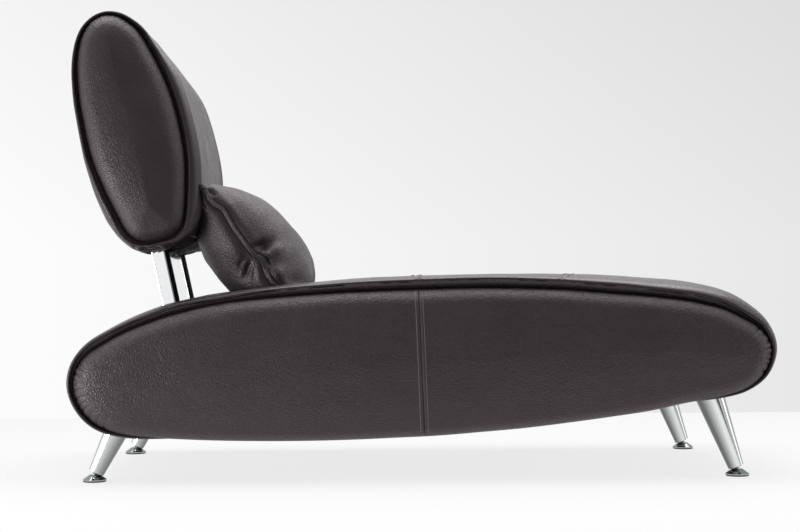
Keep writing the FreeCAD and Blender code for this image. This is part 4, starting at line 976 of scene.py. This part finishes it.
def in_cushion(v, y, u):
    return np.c_[CX + v * math.cos(LEAN) - u * math.sin(LEAN), y, CZ + v * math.sin(LEAN) + u * math.cos(LEAN)]


NU, NY = 120, 170
p = np.sin(np.linspace(-1, 1, NU) * math.pi / 2 * 0.94) / math.sin(math.pi / 2 * 0.94)
q = np.sin(np.linspace(-1, 1, NY) * math.pi / 2 * 0.93) / math.sin(math.pi / 2 * 0.93)
PP, QQ = np.meshgrid(p, q, indexing="ij")
# how far each side stands off the seam's plane, from the bottom edge to the top edge
AT_U = np.array([-167, -164, -157, -146, -125, -96, -61, -12, 44, 92, 129, 150, 161, 167.0])
FRONT_V = np.array([0, 22, 44, 62, 80, 93, 101, 103, 97, 82, 61, 42, 25, 0.0])
REAR_V = np.array([0, 22, 44, 60, 76, 88, 96, 101, 101, 88, 64, 42, 24, 0.0])
fine_u = np.linspace(-167, 167, 1337)


def side_depth(u, values):
    raw = np.interp(fine_u, AT_U, values)
    kern = np.exp(-np.linspace(-2.5, 2.5, 121) ** 2 / 2)
    soft = np.convolve(np.pad(raw, 60, mode="edge"), kern / kern.sum(), mode="valid")
    keep = np.clip((167 - np.abs(fine_u)) / 25.0, 0, 1)
    return np.interp(u, fine_u, raw * (1 - keep) + soft * keep)


# dents and creases at the two ends: (u, v) places, spread, depth
DENTS = [(-17, 30, 13, 22, -15), (-52, 17, 18, 12, -9), (-40, 50, 15, 14, 4), (-84, 26, 17, 15, 5), (-10, -12, 15, 11, -6),
         (-36, -28, 20, 17, -8), (30, 36, 30, 20, 3), (20, -34, 26, 18, 3), (-122, 46, 14, 16, -5)]
CREASES = [([(-20, -4), (-35, -27), (-50, -50)], 4.2, 4.2), ([(-14, -5), (-16, -24), (-20, -44)], 1.8, 4.0),
           ([(-28, -5), (-50, -20), (-70, -30)], 2.6, 4.5),
           ([(-4, 13), (-10, 30), (-20, 50)], 3.0, 6.0), ([(-24, 10), (-42, 17), (-62, 20)], 3.5, 5.0),
           ([(162, -3), (140, -16), (118, -20)], 3.0, 3.5), ([(162, 3), (144, 16), (128, 20)], 2.2, 4.5),
           ([(156, 8), (132, 13)], 2.5, 3.5)]
WANDER_U = [-103, -78, -52, -34, -22, 12, 56, 99, 120, 139, 164]
WANDER_V = [-2, -2, 1, 7, -2, -1, -1, 4, -6, -8, -3]


def to_line(u, v, pts):
    """Distance to a row of points joined by straight pieces, and the share of the way along it."""
    best, where = np.full(u.shape, 1e9), np.zeros(u.shape)
    total = len(pts) - 1
    for i in range(total):
        a, b = np.array(pts[i], float), np.array(pts[i + 1], float)
        ab = b - a
        t = np.clip(((u - a[0]) * ab[0] + (v - a[1]) * ab[1]) / (ab @ ab), 0, 1)
        d = np.hypot(u - a[0] - t * ab[0], v - a[1] - t * ab[1])
        where = np.where(d < best, (i + t) / total, where)
        best = np.minimum(best, d)
    return best, where


def pillow(face):
    """One side of the pillow as local (u, y, v) and a painted shade for its seam rim and creases."""
    u = CU * PP * (1 - 0.028 * (1 - QQ ** 2))
    y = CW * QQ * (1 - 0.022 * (1 - PP ** 2))
    t = side_depth(CU * PP, FRONT_V if face > 0 else REAR_V) / CT * np.clip(1 - np.abs(QQ) ** 4.6, 0, 1) ** 0.5
    G = np.stack([u, y, face * CT * t], axis=-1)
    # distance from the seam measured over the surface
    du = np.linalg.norm(np.diff(G, axis=0), axis=2)
    dy = np.linalg.norm(np.diff(G, axis=1), axis=2)
    cu = np.vstack([np.zeros((1, NY)), np.cumsum(du, 0)])
    cy = np.hstack([np.zeros((NU, 1)), np.cumsum(dy, 1)])
    rim = np.minimum(np.minimum(cu, cu[-1:] - cu), np.minimum(cy, cy[:, -1:] - cy))
    nrm = np.cross(np.gradient(G, axis=0), np.gradient(G, axis=1))
    nrm = nrm / np.maximum(np.linalg.norm(nrm, axis=2, keepdims=True), 1e-9)
    nrm = nrm * face * np.sign((nrm[..., 2:3] * 1.0).mean())
    w = smooth(np.abs(y), 165, 222)
    out = (2.2 if face < 0 else 4.0) * np.exp(-((rim - 20.0) / 12.0) ** 2) - (4.0 if face < 0 else 2.0) * np.exp(-(rim / 4.0) ** 2)
    # painted shade: dark along the rear side's seam rim and in a line beside the front welt
    dark = np.exp(-(rim / 5.0) ** 2) if face < 0 else np.exp(-((rim - 14.0) / 3.0) ** 2) * 0.7
    v0 = G[..., 2]
    for a, b, sa, sb, dep in DENTS:
        if (b > 0) == (face > 0):
            k = np.exp(-((u - a) / sa) ** 2 - ((v0 - b) / sb) ** 2)
            out = out + w * dep * k
    for pts, dep, wid in CREASES:
        if (pts[-1][1] > 0) == (face > 0):
            d, s = to_line(u, v0, pts)
            fade = np.sin(math.pi * np.clip(0.12 + 0.88 * s, 0, 1)) ** 0.6
            k = np.exp(-(d / wid) ** 2) * fade
            out = out - w * dep * k + w * 0.35 * dep * np.exp(-((d - 2.2 * wid) / wid) ** 2) * fade
            # painted shade in each crease
            dark = np.maximum(dark, 0.8 * w * k)
    # short gathers along the long seams
    along = np.sin(y / 6.3 + 1.7 * np.sin(y / 21.0)) * (0.5 + 0.5 * np.sin(y / 37.0 + face))
    out = out + 1.5 * along * np.exp(-((np.minimum(cu, cu[-1:] - cu) - 12.0) / 13.0) ** 2) * smooth(CW - np.abs(y), 10, 60)
    flat = np.c_[u.ravel(), y.ravel()]
    out = out + (t.ravel() * (1.5 * waves(flat, 190, 52 + face) + 0.7 * waves(flat, 80, 55 + face))).reshape(t.shape)
    G = G + nrm * out[..., None]
    G[..., 2] += np.interp(u, WANDER_U, WANDER_V) * w * np.exp(-(rim / 28.0) ** 2)
    return G, dark


parts, F, CR = [], [], []
for face in (1, -1):
    G, dark = pillow(face)
    base = len(parts) * NU * NY
    parts.append(G)
    CR.append(dark.ravel())
    for i in range(NU - 1):
        for j in range(NY - 1):
            a = base + i * NY + j
            f = (a, a + NY, a + NY + 1, a + 1)
            F.append(f[::-1] if face > 0 else f)
# the two sides share their seam
seam_mask = np.zeros((NU, NY), bool)
seam_mask[0, :] = seam_mask[-1, :] = seam_mask[:, 0] = seam_mask[:, -1] = True
mean = (parts[0] + parts[1]) / 2
for G in parts:
    G[seam_mask] = mean[seam_mask]
local = np.vstack([G.reshape(-1, 3) for G in parts])
V = in_cushion(local[:, 2], local[:, 1], local[:, 0])
CR = np.hstack(CR)


def keep_clear(V):
    """Push points out of the seat and the backrest so the cushion rests on them."""
    out = V.copy()
    arc = np.interp(out[:, 0], TOP_X, TOP_ARC)
    zs = seat_band.surface(arc, out[:, 1])[:, 2] + 1.6
    low_ = out[:, 2] < zs
    out[low_, 2] = zs[low_]
    dx, dz = out[:, 0] - BX, out[:, 2] - BZ
    v = dx * math.cos(TILT) + dz * math.sin(TILT)
    u = -dx * math.sin(TILT) + dz * math.cos(TILT)
    fr = BACK.Nrm[:, 0] > 0.2
    o2 = np.argsort(BACK.Q[fr][:, 1])
    a2 = np.interp(u, BACK.Q[fr][o2, 1], BACK.arc[fr][o2])
    PB = BACK.point(a2) + BACK.normal(a2) * (back_band.off(a2, np.clip(np.abs(out[:, 1]) / BACK_HALF, 0, 1)) + 2.5)[:, None]
    hit = (u > -240) & (v < PB[:, 0]) & (v > PB[:, 0] - 80)
    back = in_back(np.where(hit, PB[:, 0], v), out[:, 1], u)
    out[hit] = back[hit]
    return out


V = keep_clear(V)
grid = V.reshape(2, NU, NY, 3)
sm = seam_mask.ravel()
idx = np.arange(len(V))
idx[NU * NY:][sm] = np.nonzero(sm)[0]
used = np.unique(idx)
remap = np.full(len(V), -1)
remap[used] = np.arange(len(used))
F = [[int(remap[idx[k]]) for k in f] for f in F]
cushion = add_mesh("cushion", V[used], F, "cushion", LEATHER_SOFT, CR[used])
sub = cushion.modifiers.new("smooth", "SUBSURF")
sub.levels = sub.render_levels = 1
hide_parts("cushion_cover", "cushion_fill")

# flat welt laid over the front side of the seam
rim_ij = ([(0, j) for j in range(NY)] + [(i, NY - 1) for i in range(1, NU)] +
          [(NU - 1, j) for j in range(NY - 2, -1, -1)] + [(i, 0) for i in range(NU - 2, 0, -1)])
front = grid[0]
centre = in_cushion(np.zeros(1), np.zeros(1), np.zeros(1))[0]
PROFILE = [(-1.4, -2.0), (-1.3, 2.6), (-0.8, 4.2), (0.4, 5.0), (3.0, 5.2), (6.0, 5.3), (8.0, 5.3), (8.9, 4.6), (9.2, 3.0), (9.2, -2.0)]
rows = []
for i, j in rim_ij:
    steps = max(i, NU - 1 - i), max(j, NY - 1 - j)
    if i in (0, NU - 1) and j in (0, NY - 1):
        path = [(i + (k if i == 0 else -k), j + (k if j == 0 else -k)) for k in range(12)]
    elif i in (0, NU - 1):
        path = [(i + (k if i == 0 else -k), j) for k in range(14)]
    else:
        path = [(i, j + (k if j == 0 else -k)) for k in range(14)]
    L3 = np.array([front[a, b] for a, b in path])
    s = np.r_[0, np.cumsum(np.linalg.norm(np.diff(L3, axis=0), axis=1))]
    rows.append([np.array([np.interp(w, s, L3[:, c]) for c in range(3)]) for w in (0.0, 2.5, 5.0, 7.5, 10.0, 12.5)])
rows = np.array(rows)
for c in range(rows.shape[1]):
    for _ in range(3):
        rows[:, c] = (np.roll(rows[:, c], 1, 0) + rows[:, c] * 2 + np.roll(rows[:, c], -1, 0)) / 4
n = len(rows)
tang = np.roll(rows[:, 0], -1, 0) - np.roll(rows[:, 0], 1, 0)
tang /= np.linalg.norm(tang, axis=1)[:, None]
across = rows[:, -1] - rows[:, 0]
up_ = np.cross(tang, across)
up_ /= np.linalg.norm(up_, axis=1)[:, None]
up_ *= np.sign(np.sum(up_ * (rows[:, 2] - centre), axis=1))[:, None]
ring = []
for i in range(n):
    for w, h in PROFILE:
        pos = np.array([np.interp(w, (0.0, 2.5, 5.0, 7.5, 10.0, 12.5), rows[i, :, c]) for c in range(3)])
        if w < 0:
            pos = pos + across[i] / np.linalg.norm(across[i]) * w
        ring.append(pos + up_[i] * h)
k = len(PROFILE)
F = []
for i in range(n):
    for j in range(k):
        F.append((i * k + j, ((i + 1) % n) * k + j, ((i + 1) % n) * k + (j + 1) % k, i * k + (j + 1) % k))
cw = add_mesh("cushion_welt", np.array(ring), F, "cushion", LEATHER_SOFT)
aside = across / np.linalg.norm(across, axis=1)[:, None]
ring = []
for i in range(n):
    for c in range(8):
        g = 2 * math.pi * c / 8
        ring.append(rows[i, 0] - aside[i] * 2.9 + up_[i] * 3.6 + 2.0 * (math.cos(g) * aside[i] + math.sin(g) * up_[i]))
F = [(i * 8 + j, i * 8 + (j + 1) % 8, ((i + 1) % n) * 8 + (j + 1) % 8, ((i + 1) % n) * 8 + j) for i in range(n) for j in range(8)]
add_mesh("cushion_seam_shade", np.array(ring), F, "cushion", SHADE)

# --- floor, light and camera -------------------------------------------------------------------------------
def panel_quad(name, pts, mat):
    me = bpy.data.meshes.new(name)
    me.from_pydata(pts, [], [(0, 1, 2, 3)])
    ob = bpy.data.objects.new(name, me)
    scene.collection.objects.link(ob)
    me.materials.append(mat)
    return ob


def open_behind(m):
    """Show the surface only from its front, so that views from behind or below look through it."""
    geo = m.n("ShaderNodeNewGeometry")
    clear = m.n("ShaderNodeBsdfTransparent")
    mix = m.n("ShaderNodeMixShader")
    m.link(geo.outputs["Backfacing"], mix.inputs["Fac"])
    m.link(m.bsdf.outputs["BSDF"], mix.inputs[1])
    m.link(clear.outputs["BSDF"], mix.inputs[2])
    m.link(mix.outputs["Shader"], m.out.inputs["Surface"])


def floor_material():
    """White floor; in front of the view it throws little light back, so the object's side stays deep in tone."""
    m = Mat("floor_white")
    v = m.coords()
    sep = m.n("ShaderNodeSeparateXYZ")
    m.link(v, sep.inputs["Vector"])
    y = m.math("MULTIPLY", m.math("ADD", sep.outputs["Y"], 2.2), 0.25, True)
    near = m.ramp(y, [(0.10, (0.05,) * 3), (0.25, (1, 1, 1)), (0.58, (1, 1, 1)), (0.76, (0.955,) * 3)])
    seen = m.ramp(y, [(0.0, (0.722,) * 3), (0.58, (0.722,) * 3), (0.76, (0.70,) * 3)])
    path = m.n("ShaderNodeLightPath")
    shade = m.mixc(path.outputs["Is Camera Ray"], near, seen)
    col = m.ramp(m.noise(v, 0.8, 2), [(0.3, (0.136, 0.136, 0.136)), (0.7, (0.141, 0.141, 0.141))])
    m.link(m.mixc(1.0, col, shade, "MULTIPLY"), m.bsdf.inputs["Base Color"])
    rr = m.ramp(m.noise(v, 2.0, 2), [(0.3, (0.08,) * 3), (0.7, (0.11,) * 3)])
    m.link(rr, m.bsdf.inputs["Roughness"])
    m.link(shade, m.bsdf.inputs["Emission Color"])
    m.set(Emission_Strength=1.1, Specular_IOR_Level=0.0)
    open_behind(m)
    return m.m


def wall_material():
    """Soft gradient: brightest at the left, a little darker to the right and the top."""
    m = Mat("backdrop")
    tc = m.n("ShaderNodeTexCoord")
    sep = m.n("ShaderNodeSeparateXYZ")
    m.link(tc.outputs["Object"], sep.inputs["Vector"])
    xr = m.math("MULTIPLY", m.math("ADD", sep.outputs["X"], 1.23), 20.0 / 2.46 / 40.0)
    zr = m.math("MULTIPLY", m.math("SUBTRACT", sep.outputs["Z"], 0.55, True), 8.0 / 0.72 / 40.0)
    c = m.ramp(m.math("ADD", xr, zr, True), [(0.0, (0.972,) * 3), (0.7, (0.742,) * 3), (1.0, (0.66,) * 3)])
    m.set(Roughness=1.0, Base_Color=(0, 0, 0, 1), Specular_IOR_Level=0.0, Emission_Strength=1.0)
    m.link(c, m.bsdf.inputs["Emission Color"])
    open_behind(m)
    return m.m


WALL_Y = 1.47
panel_quad("floor", [(-9, -9, 0), (9, -9, 0), (9, 9, 0), (-9, 9, 0)], floor_material())
panel_quad("backdrop", [(-9, WALL_Y, 0), (9, WALL_Y, 0), (9, WALL_Y, 7), (-9, WALL_Y, 7)], wall_material())


def area(name, loc, target, size, power, color=(1, 1, 1)):
    l = bpy.data.lights.new(name, "AREA")
    l.shape = "RECTANGLE"
    l.size, l.size_y = size
    l.energy = power
    l.color = color
    o = bpy.data.objects.new(name, l)
    o.location = loc
    o.rotation_euler = (Vector(target) - Vector(loc)).to_track_quat("-Z", "Y").to_euler()
    o.visible_camera = False
    scene.collection.objects.link(o)
    return o


area("softbox_top", (-0.2, 0.15, 2.6), (-0.15, -0.1, 0.3), (3.2, 1.5), 59)
area("softbox_back", (0.1, 1.38, 2.05), (-0.1, 0.0, 0.55), (3.4, 1.1), 42)
area("softbox_left", (-2.0, -1.1, 0.30), (-0.6, -0.3, 0.3), (0.7, 0.4), 8.5)
area("softbox_low", (-1.65, -1.0, 0.13), (-0.65, -0.36, 0.22), (0.5, 0.2), 8.5)
area("card_front", (-1.05, -3.9, 0.75), (-0.55, 0.0, 0.45), (0.5, 1.1), 1.36)

world = bpy.data.worlds.new("studio")
scene.world = world
world.use_nodes = True
wt = world.node_tree
bg = wt.nodes["Background"]
tc = wt.nodes.new("ShaderNodeTexCoord")
sep = wt.nodes.new("ShaderNodeSeparateXYZ")
wt.links.new(tc.outputs["Generated"], sep.inputs["Vector"])
mr = wt.nodes.new("ShaderNodeMapRange")
mr.inputs["From Min"].default_value = -1.0
mr.inputs["From Max"].default_value = 1.0
wt.links.new(sep.outputs["Y"], mr.inputs["Value"])
rp_ = wt.nodes.new("ShaderNodeValToRGB")
el = rp_.color_ramp.elements
el[0].position, el[0].color = 0.06, (0.160, 0.160, 0.164, 1)
el[1].position, el[1].color = 0.62, (2.65, 2.65, 2.65, 1)
wt.links.new(mr.outputs["Result"], rp_.inputs["Fac"])
seen = wt.nodes.new("ShaderNodeMix")
seen.data_type = "RGBA"
path = wt.nodes.new("ShaderNodeLightPath")
wt.links.new(path.outputs["Is Camera Ray"], seen.inputs["Factor"])
ends = [s for s in seen.inputs if s.type == "RGBA"]
wt.links.new(rp_.outputs["Color"], ends[0])
ends[1].default_value = (0.92, 0.92, 0.92, 1)
wt.links.new([s for s in seen.outputs if s.type == "RGBA"][0], bg.inputs["Color"])
bg.inputs["Strength"].default_value = 1.0

cam_data = bpy.data.cameras.new("camera")
cam_data.sensor_width = 36.0
cam_data.lens = 1586.51 * 36.0 / 800.0
cam = bpy.data.objects.new("camera", cam_data)
yaw, pitch, roll = math.radians(1.0929), math.radians(-0.9487), math.radians(-0.4142)
rp = Matrix(((1, 0, 0), (0, math.cos(pitch), -math.sin(pitch)), (0, math.sin(pitch), math.cos(pitch))))
ry = Matrix(((math.cos(yaw), -math.sin(yaw), 0), (math.sin(yaw), math.cos(yaw), 0), (0, 0, 1)))
rot = rp @ ry
right, ahead, up = rot[0], rot[1], rot[2]
r2 = right * math.cos(roll) + up * math.sin(roll)
u2 = -right * math.sin(roll) + up * math.cos(roll)
basis = Matrix((r2, u2, -ahead)).transposed()
cam.matrix_world = Matrix.Translation(Vector((-0.11352, -3.73628, 0.40306))) @ basis.to_4x4()
scene.collection.objects.link(cam)
scene.camera = cam
scene.view_settings.view_transform = "Standard"
